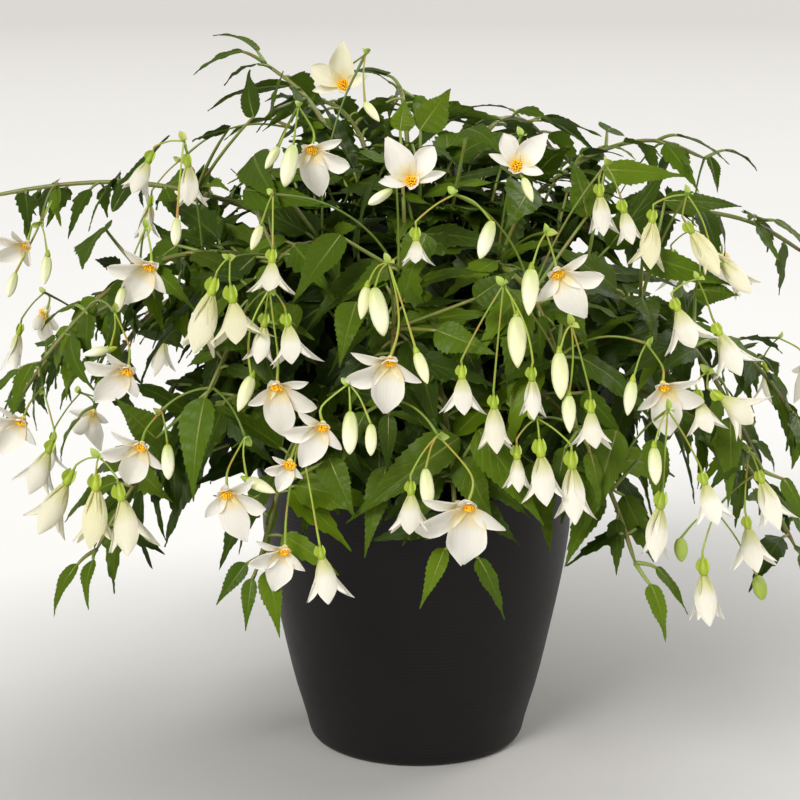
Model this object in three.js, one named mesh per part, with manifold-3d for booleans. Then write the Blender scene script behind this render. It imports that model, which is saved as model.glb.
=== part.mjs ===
// Potted bolivian begonia: a hanging begonia with white flowers in a dark tapered pot.
// Millimetres, +Z up, origin at the centre of the pot's base, front towards -Y.
import * as THREE from "three";
import { mergeVertices } from "three/addons/utils/BufferGeometryUtils.js";
import Module from "manifold-3d";

// Pot
const POT_HEIGHT = 232;
const POT_BASE_RADIUS = 82;
const POT_RIM_RADIUS = 130;
const POT_WALL = 2.6;
const POT_FLOOR = 4;
const POT_SIDES = 32;

// Soil
const SOIL_TOP = 210;
const FIT = 0.35;
const STUB_RADIUS = 4.2;
const STUB_CIRCLE = 34;
const STUB_DEPTH = 18;

// Plant
const SECTORS = 12;
const CORE_SIZE = [172, 150, 148];
const CORE_MIDDLE = 306;
const CORE_BOTTOM = 242;
const CORE_LUMPS = 0.17;
const SECTOR_INSET = 2.4;
const STEM_RADIUS = 3.4;
const STEM_TIP_RADIUS = 1.8;
const PEDICEL_RADIUS = 1.05;
const CANOPY_SIZE = [338, 272, 262];
const CANOPY_MIDDLE = 286;
const CLEAR = 0.35;

// View of the photograph: 800 pixels wide, camera pitched down.
const PHOTO_MIDDLE = 400;
const PHOTO_FOCUS = 2200;
const PHOTO_PITCH = (12.5 * Math.PI) / 180;
const PHOTO_EYE = [-13.4, -1744.5, 669.5];

// Vectors
const DEG = Math.PI / 180;
const UP = [0, 0, 1];
const plus = (...v) => v.reduce((a, b) => [a[0] + b[0], a[1] + b[1], a[2] + b[2]]);
const times = (v, s) => [v[0] * s, v[1] * s, v[2] * s];
const minus = (a, b) => [a[0] - b[0], a[1] - b[1], a[2] - b[2]];
const dot = (a, b) => a[0] * b[0] + a[1] * b[1] + a[2] * b[2];
const cross = (a, b) => [
  a[1] * b[2] - a[2] * b[1],
  a[2] * b[0] - a[0] * b[2],
  a[0] * b[1] - a[1] * b[0],
];
const size = (v) => Math.hypot(v[0], v[1], v[2]);
const unit = (v) => times(v, 1 / (size(v) || 1));
const between = (a, b, t) => plus(times(a, 1 - t), times(b, t));
const square = (v, to) => unit(minus(v, times(to, dot(v, to))));
const polar = (radius, angle, z) => [
  radius * Math.cos(angle * DEG),
  radius * Math.sin(angle * DEG),
  z,
];

// Seeded draws, one stream for each stem, spray or leaf.
function draws(seed) {
  let a = seed | 0;
  return (low, high) => {
    a = (a + 0x6d2b79f5) | 0;
    let t = Math.imul(a ^ (a >>> 15), 1 | a);
    t = (t + Math.imul(t ^ (t >>> 7), 61 | t)) ^ t;
    return low + (high - low) * (((t ^ (t >>> 14)) >>> 0) / 4294967296);
  };
}

const wasm = await Module();
wasm.setup();
const { Manifold } = wasm;

function solid(vertices, faces) {
  const mesh = new wasm.Mesh({
    numProp: 3,
    vertProperties: new Float32Array(vertices.flat()),
    triVerts: new Uint32Array(faces.flat()),
  });
  return new Manifold(mesh);
}

function solidOf(geometry) {
  const bare = geometry.index ? geometry.toNonIndexed() : geometry.clone();
  bare.deleteAttribute("normal");
  bare.deleteAttribute("uv");
  const merged = mergeVertices(bare, 1e-3);
  const at = merged.attributes.position;
  const index = merged.index.array;
  const vertices = Array.from({ length: at.count }, (_, i) => [at.getX(i), at.getY(i), at.getZ(i)]);
  const faces = [];
  for (let i = 0; i < index.length; i += 3) {
    const [a, b, c] = index.subarray(i, i + 3);
    if (a !== b && b !== c && c !== a) faces.push([a, b, c]);
  }
  return solid(vertices, faces);
}

// A lathe turned about +Z from (radius, height) pairs that run up the outside.
function turned(profile, sides) {
  const points = profile.map(([r, z]) => new THREE.Vector2(r, z));
  const geometry = new THREE.LatheGeometry(points, sides);
  geometry.rotateX(Math.PI / 2);
  return solidOf(geometry);
}

// Rings of corners square to a path, carried along it without twisting.
// The first corner lies towards lean, given at the path's end.
function ringsAlong(path, radii, sides, lean) {
  const rings = [];
  let toCorner = lean;
  for (let i = path.length - 1; i >= 0; i--) {
    const ahead = path[Math.min(i + 1, path.length - 1)];
    const behind = path[Math.max(i - 1, 0)];
    const along = unit(minus(ahead, behind));
    toCorner = square(toCorner, along);
    const aside = cross(along, toCorner);
    const ring = [];
    for (let k = 0; k < sides; k++) {
      const turn = (k / sides) * Math.PI * 2;
      const arm = plus(times(toCorner, Math.cos(turn)), times(aside, Math.sin(turn)));
      ring.push(plus(path[i], times(arm, radii[i])));
    }
    rings.unshift(ring);
  }
  return rings;
}

// Walls between rings of the same number of corners, and the cap of the first ring.
function ringWalls(count, sides) {
  const faces = [];
  for (let i = 0; i + 1 < count; i++) {
    for (let k = 0; k < sides; k++) {
      const a = i * sides + k;
      const b = i * sides + ((k + 1) % sides);
      faces.push([a, b, b + sides], [a, b + sides, a + sides]);
    }
  }
  for (let k = 1; k + 1 < sides; k++) faces.push([0, k + 1, k]);
  return faces;
}

function tube(path, radii, sides) {
  const end = unit(minus(path[path.length - 1], path[path.length - 2]));
  const rings = ringsAlong(path, radii, sides, Math.abs(end[2]) > 0.9 ? [1, 0, 0] : UP);
  const faces = ringWalls(rings.length, sides);
  const last = (rings.length - 1) * sides;
  for (let k = 1; k + 1 < sides; k++) faces.push([last, last + k, last + k + 1]);
  return solid(rings.flat(), faces);
}

// A smooth curve through points, sampled at even steps of its length.
function evenSteps(points, step) {
  const dense = [];
  for (let i = 0; i + 1 < points.length; i++) {
    const p0 = points[Math.max(i - 1, 0)];
    const p1 = points[i];
    const p2 = points[i + 1];
    const p3 = points[Math.min(i + 2, points.length - 1)];
    for (let k = 0; k < 24; k++) {
      const t = k / 24;
      const bend = plus(times(p0, 2), times(p1, -5), times(p2, 4), times(p3, -1));
      const twist = plus(times(p0, -1), times(p1, 3), times(p2, -3), p3);
      const go = minus(p2, p0);
      const twice = plus(times(p1, 2), times(go, t), times(bend, t * t), times(twist, t * t * t));
      dense.push(times(twice, 0.5));
    }
  }
  dense.push(points[points.length - 1]);
  const run = [0];
  for (let i = 1; i < dense.length; i++) run.push(run[i - 1] + size(minus(dense[i], dense[i - 1])));
  const count = Math.max(2, Math.round(run[run.length - 1] / step));
  const out = [];
  let i = 0;
  for (let k = 0; k <= count; k++) {
    const want = (run[run.length - 1] * k) / count;
    while (i + 2 < run.length && run[i + 1] < want) i++;
    out.push(between(dense[i], dense[i + 1], (want - run[i]) / (run[i + 1] - run[i])));
  }
  return out;
}

// The point of the canopy's front that a pixel of the photograph shows.
function canopyAt(px, py, outward = 0) {
  const ahead = [0, Math.cos(PHOTO_PITCH), -Math.sin(PHOTO_PITCH)];
  const above = [0, Math.sin(PHOTO_PITCH), Math.cos(PHOTO_PITCH)];
  const ray = plus(
    ahead,
    [(px - PHOTO_MIDDLE) / PHOTO_FOCUS, 0, 0],
    times(above, (PHOTO_MIDDLE - py) / PHOTO_FOCUS),
  );
  const [a, b, c] = plus(CANOPY_SIZE, [outward, outward, outward]);
  let best = null;
  let least = Infinity;
  for (let y = -b - 20; y <= 40; y += 2) {
    const point = plus(PHOTO_EYE, times(ray, (y - PHOTO_EYE[1]) / ray[1]));
    const high = Math.max(0, point[2] - CANOPY_MIDDLE) / c;
    const reach = (point[0] / a) ** 2 + (point[1] / b) ** 2 + high ** 2;
    if (reach < least) {
      least = reach;
      best = point;
    }
    if (reach <= 1) break;
  }
  return best;
}

// Outlines of half a leaf: distance along the blade and share of the half width.
const FINE_EDGE = [
  [0.08, 0.8],
  [0.27, 1],
  [0.37, 0.76],
  [0.56, 0.74],
  [0.66, 0.47],
];
const PLAIN_EDGE = [
  [0.12, 0.86],
  [0.43, 0.94],
  [0.54, 0.62],
];
const STALK_HALF = 1.5;
const RIB_HALF = 0.7;

// A leaf with its stalk: a toothed, folded, arched blade, thickest along the rib and uneven-sided.
function leaf({ root, base, tip, lift, width, fold, arch, fine }) {
  const axis = minus(tip, base);
  const up = square(lift, unit(axis));
  const side = cross(unit(axis), up);
  const rib = (t) => plus(base, times(axis, t), times(up, arch * size(axis) * 4 * t * (1 - t)));
  const teeth = fine ? FINE_EDGE : PLAIN_EDGE;
  const ribs = fine ? [0, 0.3, 0.62] : [0];
  const switches = fine ? [2, 4] : [];
  const vertices = [];
  const add = (v) => vertices.push(v) - 1;
  const foot = add(root);
  const neck = unit(plus(unit(minus(base, root)), unit(axis)));
  const neckUp = square(up, neck);
  const neckSide = cross(neck, neckUp);
  const edges = [1, -1].map((s) => {
    const uneven = s > 0 ? 1.14 : 0.86;
    const chain = [foot, add(plus(base, times(neckSide, s * STALK_HALF)))];
    teeth.forEach(([t, w], i) => {
      const half = (w * uneven * width) / 2;
      const at = s > 0 ? t : t + (i ? 0.04 : 0.05);
      chain.push(add(plus(rib(at), times(side, s * half), times(up, fold * half))));
    });
    return chain;
  });
  const point = add(rib(1));
  const ribAt = (t, s) => add(plus(rib(t), times(t ? up : neckUp, s * RIB_HALF * (t ? 1 : 1.5))));
  const tops = ribs.map((t) => ribAt(t, 1));
  const unders = ribs.map((t) => ribAt(t, -1));
  const faces = [];
  [tops, unders].forEach((middle, under) => {
    const put = (a, b, c) => faces.push(under ? [a, c, b] : [a, b, c]);
    edges.forEach((chain, mirrored) => {
      const lay = (a, b, c) => (mirrored ? put(a, c, b) : put(a, b, c));
      const line = [...chain, point];
      let m = 0;
      for (let i = 0; i + 1 < line.length; i++) {
        if (switches.includes(i - 1)) {
          lay(middle[m], line[i], middle[m + 1]);
          m++;
        }
        lay(middle[m], line[i], line[i + 1]);
      }
    });
  });
  return facingOut(vertices, faces);
}

// The tepals of a bloom: turn about its face, length and half width as shares of the long one,
// and how much further they open than the bloom's spread. An open bloom has one long tepal that
// hangs, a broad one beside it with a slim one above, and a short one on its other side.
const OPEN_TEPALS = [
  { turn: 0, long: 1, half: 0.25, more: -6, broad: true },
  { turn: 64, long: 0.8, half: 0.19, more: -2, broad: true },
  { turn: 108, long: 0.68, half: 0.09, more: 8, broad: false },
  { turn: 296, long: 0.64, half: 0.11, more: -4, broad: false },
];
const OPEN_TEPALS_LEFT = OPEN_TEPALS.map((t) => ({ ...t, turn: (360 - t.turn) % 360 })).sort(
  (a, b) => a.turn - b.turn,
);
const BELL_TEPALS = [
  { turn: 0, long: 1, half: 0.2, more: 0, broad: true },
  { turn: 120, long: 0.86, half: 0.17, more: 0, broad: true },
  { turn: 240, long: 0.92, half: 0.16, more: 0, broad: true },
];
const BROAD_EDGE = [
  [0.22, 0.74],
  [0.58, 1],
];
const NARROW_EDGE = [[0.5, 1]];
const HEART = 3.4;

// A bloom on its stalk: pointed tepals round a raised heart, in one skin.
function bloom({ path, radii, facing, down, long, spread, curl, plain, tepals }) {
  const d0 = square(down, facing);
  const sides = tepals.length;
  const rings = ringsAlong(path, radii, sides, d0);
  const vertices = rings.flat();
  const faces = ringWalls(rings.length, sides);
  const back = (rings.length - 1) * sides;
  const add = (v) => vertices.push(v) - 1;
  const eye = path[path.length - 1];
  const e0 = cross(facing, d0);
  const around = (turn) =>
    plus(times(d0, Math.cos(turn * DEG)), times(e0, Math.sin(turn * DEG)));
  const heart = add(plus(eye, times(facing, 3.6)));
  const valleys = tepals.map(({ turn }, j) => {
    const before = tepals[(j + sides - 1) % sides].turn - (j ? 0 : 360);
    return add(plus(eye, times(facing, 1.4), times(around((turn + before) / 2), HEART)));
  });
  tepals.forEach(({ turn, long: share, half, more, broad }, j) => {
    const out = around(turn);
    const lean = (spread + more) * DEG;
    const run = plus(times(facing, Math.cos(lean)), times(out, Math.sin(lean)));
    const inner = plus(times(facing, Math.sin(lean)), times(out, -Math.cos(lean)));
    const aside = cross(facing, out);
    const reach = long * share;
    const rib = (t) =>
      plus(eye, times(run, reach * t), times(inner, -curl * reach * t * t), times(facing, 1));
    const edge = broad && !plain ? BROAD_EDGE : NARROW_EDGE;
    const at = ([t, w], s) => {
      const wide = w * half * long;
      return add(plus(rib(t), times(aside, s * wide), times(inner, 0.28 * wide)));
    };
    const line = [
      valleys[j],
      ...edge.map((e) => at(e, -1)),
      add(rib(1)),
      ...[...edge].reverse().map((e) => at(e, 1)),
      valleys[(j + 1) % sides],
    ];
    const front = add(plus(rib(0.46), times(inner, 0.45)));
    const rear = add(plus(rib(0.46), times(inner, -0.45)));
    const neck = back + j;
    faces.push([heart, line[0], front], [heart, front, line[line.length - 1]]);
    faces.push([neck, rear, line[0]], [neck, line[line.length - 1], rear]);
    faces.push([neck, back + ((j + 1) % sides), line[line.length - 1]]);
    for (let i = 0; i + 1 < line.length; i++) {
      faces.push([front, line[i], line[i + 1]], [rear, line[i + 1], line[i]]);
    }
  });
  return facingOut(vertices, faces);
}

// A stalk that swells and ends in a point, for buds and seed pods.
function pointed(path, radii, sides) {
  const along = unit(minus(path[path.length - 1], path[path.length - 2]));
  const rings = ringsAlong(path.slice(0, -1), radii.slice(0, -1), sides, square([1, 0.2, 0.1], along));
  const vertices = rings.flat();
  const faces = ringWalls(rings.length, sides);
  const last = (rings.length - 1) * sides;
  const point = vertices.push(path[path.length - 1]) - 1;
  for (let k = 0; k < sides; k++) faces.push([last + k, last + ((k + 1) % sides), point]);
  return facingOut(vertices, faces);
}

function facingOut(vertices, faces) {
  const made = solid(vertices, faces);
  if (made.volume() > 0) return made;
  return solid(
    vertices,
    faces.map(([a, b, c]) => [a, c, b]),
  );
}

// Every piece that others keep clear of, with the node it belongs to.
const placed = [];

function near(a, b, reach) {
  for (let k = 0; k < 3; k++) {
    if (a.min[k] - reach > b.max[k] || b.min[k] - reach > a.max[k]) return false;
  }
  return true;
}

// Pieces of one node may meet at their roots, so only their blades are held apart.
function clearOf(body, node = "", blade = body) {
  const box = body.boundingBox();
  return placed.every((other) => {
    if (!near(box, other.box, CLEAR)) return true;
    if (other.node !== node) return body.minGap(other.body, CLEAR) >= CLEAR * 0.999;
    return other.kind === "stem" || blade.minGap(other.blade, CLEAR) >= CLEAR * 0.999;
  });
}

function place(node, kind, body, blade = body) {
  placed.push({ node, kind, body, blade, box: body.boundingBox() });
}

// Pot: tapered wall with a rounded foot, an upright band below the rim and a rolled lip.
function makePot() {
  const r = POT_BASE_RADIUS;
  const top = POT_RIM_RADIUS;
  const outer = [
    [0, 0],
    [r, 0],
    [r + 4.2, 2.2],
    [r + 7, 7],
    [99.5, 45],
    [111.5, 98],
    [121, 146],
    [125.6, 178],
    [127, 220],
    [top, 224],
    [top, POT_HEIGHT - 1.5],
    [top - 1.5, POT_HEIGHT],
    [top - 5, POT_HEIGHT],
  ];
  const inner = [
    [125.6 - POT_WALL, 178],
    [99.5 - POT_WALL, 45],
    [r + 7 - POT_WALL, POT_FLOOR + 6],
    [r, POT_FLOOR],
    [0, POT_FLOOR],
  ];
  return turned([...outer, ...inner], POT_SIDES);
}

// Soil fills the pot, a little under the rim, with plain holes for the stems.
function makeSoil() {
  const inside = (radius) => radius - POT_WALL - FIT;
  const body = turned(
    [
      [0, POT_FLOOR + FIT],
      [POT_BASE_RADIUS - FIT, POT_FLOOR + FIT],
      [inside(POT_BASE_RADIUS + 7), POT_FLOOR + 6 + FIT],
      [inside(99.5), 45],
      [inside(125.6), 178],
      [inside(125.6), SOIL_TOP - 3],
      [0, SOIL_TOP],
    ],
    POT_SIDES,
  );
  const holes = Array.from({ length: SECTORS }, (_, k) => {
    const az = -90 + (360 / SECTORS) * k;
    const radius = STUB_RADIUS + FIT * Math.SQRT2;
    return tube(
      [polar(STUB_CIRCLE, az, SOIL_TOP - STUB_DEPTH - FIT), polar(STUB_CIRCLE, az, SOIL_TOP + 20)],
      [radius, radius],
      4,
    );
  });
  return body.subtract(Manifold.union(holes));
}

// Stems: azimuth, then radius and height of the points that each arches through.
const STEMS = [
  { az: -95, path: [[60, 370], [118, 425], [186, 400], [236, 335]] },
  { az: -84, path: [[70, 300], [150, 328], [216, 292], [256, 236]] },
  { az: -64, path: [[70, 370], [140, 412], [205, 385], [256, 312]] },
  { az: -55, path: [[70, 300], [150, 320], [226, 278], [272, 212]] },
  { az: -36, path: [[80, 350], [170, 388], [250, 356], [312, 270]] },
  { az: -24, path: [[80, 290], [165, 312], [262, 270], [316, 196]] },
  { az: 5, path: [[90, 390], [180, 432], [262, 428], [318, 398]] },
  { az: -8, path: [[90, 330], [185, 356], [272, 318], [326, 236]] },
  { az: 26, path: [[80, 410], [150, 468], [215, 484], [272, 466]] },
  { az: 35, path: [[80, 320], [165, 344], [245, 300], [296, 224]] },
  { az: 57, path: [[55, 420], [100, 486], [160, 500], [222, 466]] },
  { az: 65, path: [[75, 320], [160, 344], [232, 300], [276, 222]] },
  { az: 96, path: [[45, 430], [80, 496], [120, 524], [176, 508]] },
  { az: 85, path: [[70, 330], [150, 356], [214, 312], [258, 232]] },
  { az: 124, path: [[50, 420], [86, 492], [130, 516], [190, 488]] },
  { az: 114, path: [[75, 320], [160, 344], [232, 300], [278, 226]] },
  { az: 146, path: [[55, 430], [92, 500], [122, 536], [150, 548]] },
  { az: 156, path: [[80, 330], [170, 366], [255, 330], [304, 250]] },
  { az: 176, path: [[90, 400], [170, 448], [258, 458], [344, 446]] },
  { az: 187, path: [[90, 340], [180, 380], [268, 352], [330, 274]] },
  { az: 205, path: [[80, 370], [165, 414], [245, 400], [312, 340]] },
  { az: 214, path: [[80, 290], [168, 306], [244, 262], [290, 204]] },
  { az: 236, path: [[70, 380], [140, 430], [204, 408], [262, 340]] },
  { az: 245, path: [[70, 300], [150, 322], [222, 282], [266, 222]] },
];
const STEM_STEP = 54;

const sectorOf = (az) => Math.round(((az + 450) % 360) / (360 / SECTORS)) % SECTORS;
const sectorAzimuth = (k) => -90 + (360 / SECTORS) * k;
const clumpName = (k) => "leafy_stems_" + String(k).padStart(2, "0");

function stemPoints({ az, path }) {
  const foot = polar(STUB_CIRCLE, sectorAzimuth(sectorOf(az)), 232);
  return evenSteps([foot, ...path.map(([r, z]) => polar(r, az, z))], STEM_STEP);
}

const stems = STEMS.map((spec, index) => {
  const points = stemPoints(spec);
  const radii = points.map((_, i) => {
    const t = i / (points.length - 1);
    return STEM_RADIUS + (STEM_TIP_RADIUS - STEM_RADIUS) * t;
  });
  return { index, sector: sectorOf(spec.az), points, radii, body: tube(points, radii, 3) };
});

// How far out of the core a point is: 1 on its smooth surface.
const coreShare = (p) =>
  Math.hypot(p[0] / CORE_SIZE[0], p[1] / CORE_SIZE[1], (p[2] - CORE_MIDDLE) / CORE_SIZE[2]);

// The dense inner leaves: a lumpy dome, cut into one wedge for each leafy clump.
function makeDome() {
  const dome = new THREE.IcosahedronGeometry(1, 2);
  const at = dome.attributes.position;
  for (let i = 0; i < at.count; i++) {
    const v = [at.getX(i), at.getY(i), at.getZ(i)].map((x) => Math.round(x * 1e4) / 1e4);
    const wave = Math.sin(v[0] * 137 + v[1] * 261 + v[2] * 383);
    const swell = 1 + CORE_LUMPS * wave;
    at.setXYZ(
      i,
      v[0] * swell * CORE_SIZE[0],
      v[1] * swell * CORE_SIZE[1],
      v[2] * swell * CORE_SIZE[2] + CORE_MIDDLE,
    );
  }
  return solidOf(dome);
}

function wedge(k) {
  const half = 180 / SECTORS;
  const reach = 320;
  const shape = new THREE.Shape();
  shape.moveTo(SECTOR_INSET, 0);
  shape.lineTo(reach * Math.cos(half * DEG), -reach * Math.sin(half * DEG));
  shape.lineTo(reach * Math.cos(half * DEG), reach * Math.sin(half * DEG));
  shape.closePath();
  const prism = new THREE.ExtrudeGeometry(shape, { depth: 400, bevelEnabled: false });
  prism.rotateZ(sectorAzimuth(k) * DEG);
  prism.translate(0, 0, CORE_BOTTOM);
  return solidOf(prism);
}

const dome = makeDome();
const clumps = Array.from({ length: SECTORS }, (_, k) => {
  const az = sectorAzimuth(k);
  const stub = tube(
    [polar(STUB_CIRCLE, az, SOIL_TOP - STUB_DEPTH), polar(STUB_CIRCLE, az, CORE_BOTTOM + 8)],
    [STUB_RADIUS, STUB_RADIUS],
    4,
  );
  const own = stems.filter((stem) => stem.sector === k).map((stem) => stem.body);
  const base = Manifold.union([dome.intersect(wedge(k)), stub, ...own]);
  place(clumpName(k), "stem", base);
  return { name: clumpName(k), body: base };
});

const onePixel = 0.78;
const VIEWER = [0, -1, 0];
const outwardAt = (p) => unit([p[0] / CANOPY_SIZE[0] ** 2, p[1] / CANOPY_SIZE[1] ** 2, 0]);
const LEAST_PEDUNCLE = 14;
const KNOT = 2.8;
const PEDICEL_FOOT = 0.55;

// Stem points outside the core, the nearest first.
function nearestStems(to) {
  const found = [];
  for (const stem of stems) {
    stem.points.forEach((point, i) => {
      if (i < 1 || coreShare(point) < 1.02) return;
      const far = size(minus(point, to)) + Math.max(0, point[2] - to[2]) * 0.2;
      if (far > LEAST_PEDUNCLE) found.push({ stem, i, point, far });
    });
  }
  return found.sort((a, b) => a.far - b.far);
}

// Leaves: most triangles that one may add to its clump, plain and fine, and how far a stalk may
// turn back on its blade.
const MOST_ADDED = [38, 52];
const MOST_BENT = -0.62;

// Grows a leaf on its clump in the first of its poses that is clear of all other pieces.
function grow(node, index, pose, tries, seed) {
  const clump = clumps.find((c) => c.name === node);
  for (let variant = 0; variant < tries; variant++) {
    const shape = pose(draws(seed + index * 32 + variant), variant);
    const { root, base, tip } = shape;
    if (coreShare(base) < 1.03 || coreShare(tip) < 1.08) continue;
    if (dot(unit(minus(base, root)), unit(minus(tip, base))) < MOST_BENT) continue;
    const body = leaf(shape);
    const blade = leaf({ ...shape, root: between(root, base, 0.6) });
    if (!clearOf(body, node, blade)) continue;
    const grown = clump.body.add(body);
    if (grown.decompose().length !== 1) continue;
    if (grown.numTri() - clump.body.numTri() > MOST_ADDED[shape.fine ? 1 : 0]) continue;
    place(node, "leaf", body, blade);
    clump.body = grown;
    return true;
  }
  return false;
}

// Large leaves of the front, as pixels of the photograph: foot of the blade, tip, and width.
const FRONT_LEAVES = [
  [455, 442, 345, 525, 40],
  [462, 456, 496, 524, 34],
  [482, 432, 548, 526, 38],
  [618, 432, 582, 536, 40],
  [650, 440, 656, 514, 30],
  [345, 232, 292, 304, 34],
  [200, 398, 190, 500, 36],
  [352, 300, 336, 372, 30],
  [246, 190, 330, 206, 34],
  [430, 238, 404, 300, 34],
  [108, 226, 84, 274, 50],
  [110, 208, 168, 132, 30],
  [470, 130, 506, 156, 30],
  [600, 166, 686, 172, 28],
  [660, 196, 744, 208, 26],
  [640, 250, 734, 284, 34],
  [528, 190, 506, 228, 44],
  [590, 216, 572, 158, 34],
  [250, 160, 278, 208, 44],
  [232, 130, 190, 140, 26],
  [250, 120, 248, 72, 30],
  [268, 112, 284, 68, 28],
  [420, 128, 452, 92, 36],
  [396, 130, 404, 96, 26],
  [300, 330, 262, 300, 30],
  [440, 330, 500, 352, 32],
  [560, 300, 590, 348, 34],
  [470, 300, 520, 270, 30],
  [330, 460, 352, 520, 30],
  [390, 470, 362, 560, 26],
  [240, 520, 226, 566, 26],
  [520, 520, 526, 560, 24],
  [744, 414, 786, 440, 46],
  [160, 440, 120, 400, 34],
  [250, 330, 200, 350, 34],
  [690, 290, 740, 300, 30],
];
const STALK = 16;
const FINE_WIDTH = 38;

const clumpOfStem = (stem) => clumpName(stem.sector);

FRONT_LEAVES.forEach(([bx, by, tx, ty, wide], index) => {
  const target = canopyAt(bx, by, -16);
  const root = nearestStems(target)[0];
  const share = coreShare(target);
  const onCore = times(minus(target, [0, 0, CORE_MIDDLE]), 0.93 / share);
  const core = plus(onCore, [0, 0, CORE_MIDDLE]);
  const useCore = size(minus(core, target)) < size(minus(root.point, target)) && core[2] > 262;
  const from = useCore ? core : root.point;
  const az = Math.atan2(from[1], from[0]) / DEG;
  const node = useCore ? clumpName(sectorOf((az + 720) % 360)) : clumpOfStem(root.stem);
  grow(
    node,
    index,
    (draw, variant) => {
      const base = canopyAt(bx + draw(-5, 5), by + draw(-5, 5), -14 - variant * 1.6);
      const tip = canopyAt(tx + draw(-5, 5), ty + draw(-5, 5), 4 - variant * 1.6);
      const beyond = times(unit(minus(from, base)), useCore ? 0 : 1.1);
      return {
        root: plus(from, beyond),
        base,
        tip,
        lift: plus(times(outwardAt(base), 1), times(VIEWER, 0.5), times(UP, 0.7)),
        width: wide * onePixel,
        fold: draw(0.12, 0.3),
        arch: draw(0.02, 0.1),
        fine: wide >= FINE_WIDTH,
      };
    },
    24,
    90000,
  );
});

// Flower sprays

// Blooms read off the photograph: pixel of the eye, roll of the long tepal from straight down
// (positive to the right) and its length in pixels.
const open = (px, py, roll, long) => ({ kind: "open", px, py, roll, long });
const bell = (px, py, roll, long) => ({ kind: "bell", px, py, roll, long });
const bud = (px, py, roll, long) => ({ kind: "bud", px, py, roll, long });
const pod = (px, py, roll, long) => ({ kind: "pod", px, py, roll, long });
const FRONT_SPRAYS = [
  [open(27, 243, -50, 44), bud(46, 270, 0, 28), bud(12, 285, -10, 26)],
  [open(151, 264, -30, 50), bud(120, 300, -10, 24)],
  [bell(148, 162, -20, 42), bell(188, 166, 10, 46), bud(176, 232, 0, 26)],
  [open(128, 368, -40, 50), bud(96, 352, -80, 28)],
  [open(23, 419, -35, 46), bell(48, 452, -20, 50)],
  [open(142, 444, -20, 48), bud(168, 462, 5, 32)],
  [bell(66, 484, -25, 58), bell(96, 490, 4, 60), bell(122, 500, 18, 60)],
  [open(227, 491, 18, 52), bud(261, 486, 70, 30)],
  [bell(211, 294, -12, 62), bell(233, 302, 12, 52)],
  [open(277, 384, 5, 52), bud(245, 394, -20, 34), bell(264, 326, -5, 40), bell(288, 326, 12, 46)],
  [bell(272, 262, 0, 40), bud(256, 238, -20, 24)],
  [open(312, 147, 8, 50), bud(289, 166, -10, 40), bud(272, 158, -30, 24)],
  [open(344, 85, 175, 46), bud(372, 112, 40, 24)],
  [open(411, 181, -150, 48), bud(380, 197, -60, 26)],
  [open(516, 166, 140, 42), bud(528, 190, 20, 24)],
  [open(557, 271, 27, 52), bud(530, 292, -5, 42)],
  [open(390, 359, -5, 54), bud(422, 368, 20, 30), bud(379, 312, 12, 44), bud(364, 303, -10, 30)],
  [bell(462, 378, 0, 42), bell(494, 408, 0, 46), bud(517, 342, 0, 46), bell(532, 380, 0, 38)],
  [bud(560, 376, 0, 42), bud(569, 414, 0, 34), bell(591, 412, 0, 42)],
  [open(323, 424, -25, 46), bud(350, 433, 0, 38), bud(371, 440, 0, 28)],
  [open(285, 548, -15, 44), bell(322, 558, 12, 50), open(290, 462, -20, 30)],
  [open(468, 504, -4, 66), bell(411, 494, 0, 46), bud(427, 488, 5, 34)],
  [bell(517, 458, 0, 34), bell(541, 456, 4, 52), bell(572, 468, 0, 54)],
  [open(663, 384, 8, 52), bud(630, 398, -12, 32)],
  [bell(678, 310, 18, 50), bell(720, 334, 22, 50)],
  [bell(700, 402, 10, 40), bell(722, 398, 55, 50)],
  [bell(652, 222, -10, 50), bell(692, 232, 30, 50), bell(722, 262, 40, 44)],
  [bell(600, 196, 0, 42), bell(624, 212, 10, 36)],
  [bell(705, 484, 12, 46), bell(660, 508, -12, 52), bud(655, 466, 0, 34)],
  [bell(762, 482, 14, 50), bell(748, 528, 4, 50)],
  [bell(704, 574, 0, 52), pod(681, 550, 0, 22), pod(760, 588, 8, 24)],
  [bud(486, 240, -20, 36), bell(416, 240, 0, 30)],
];

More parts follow.
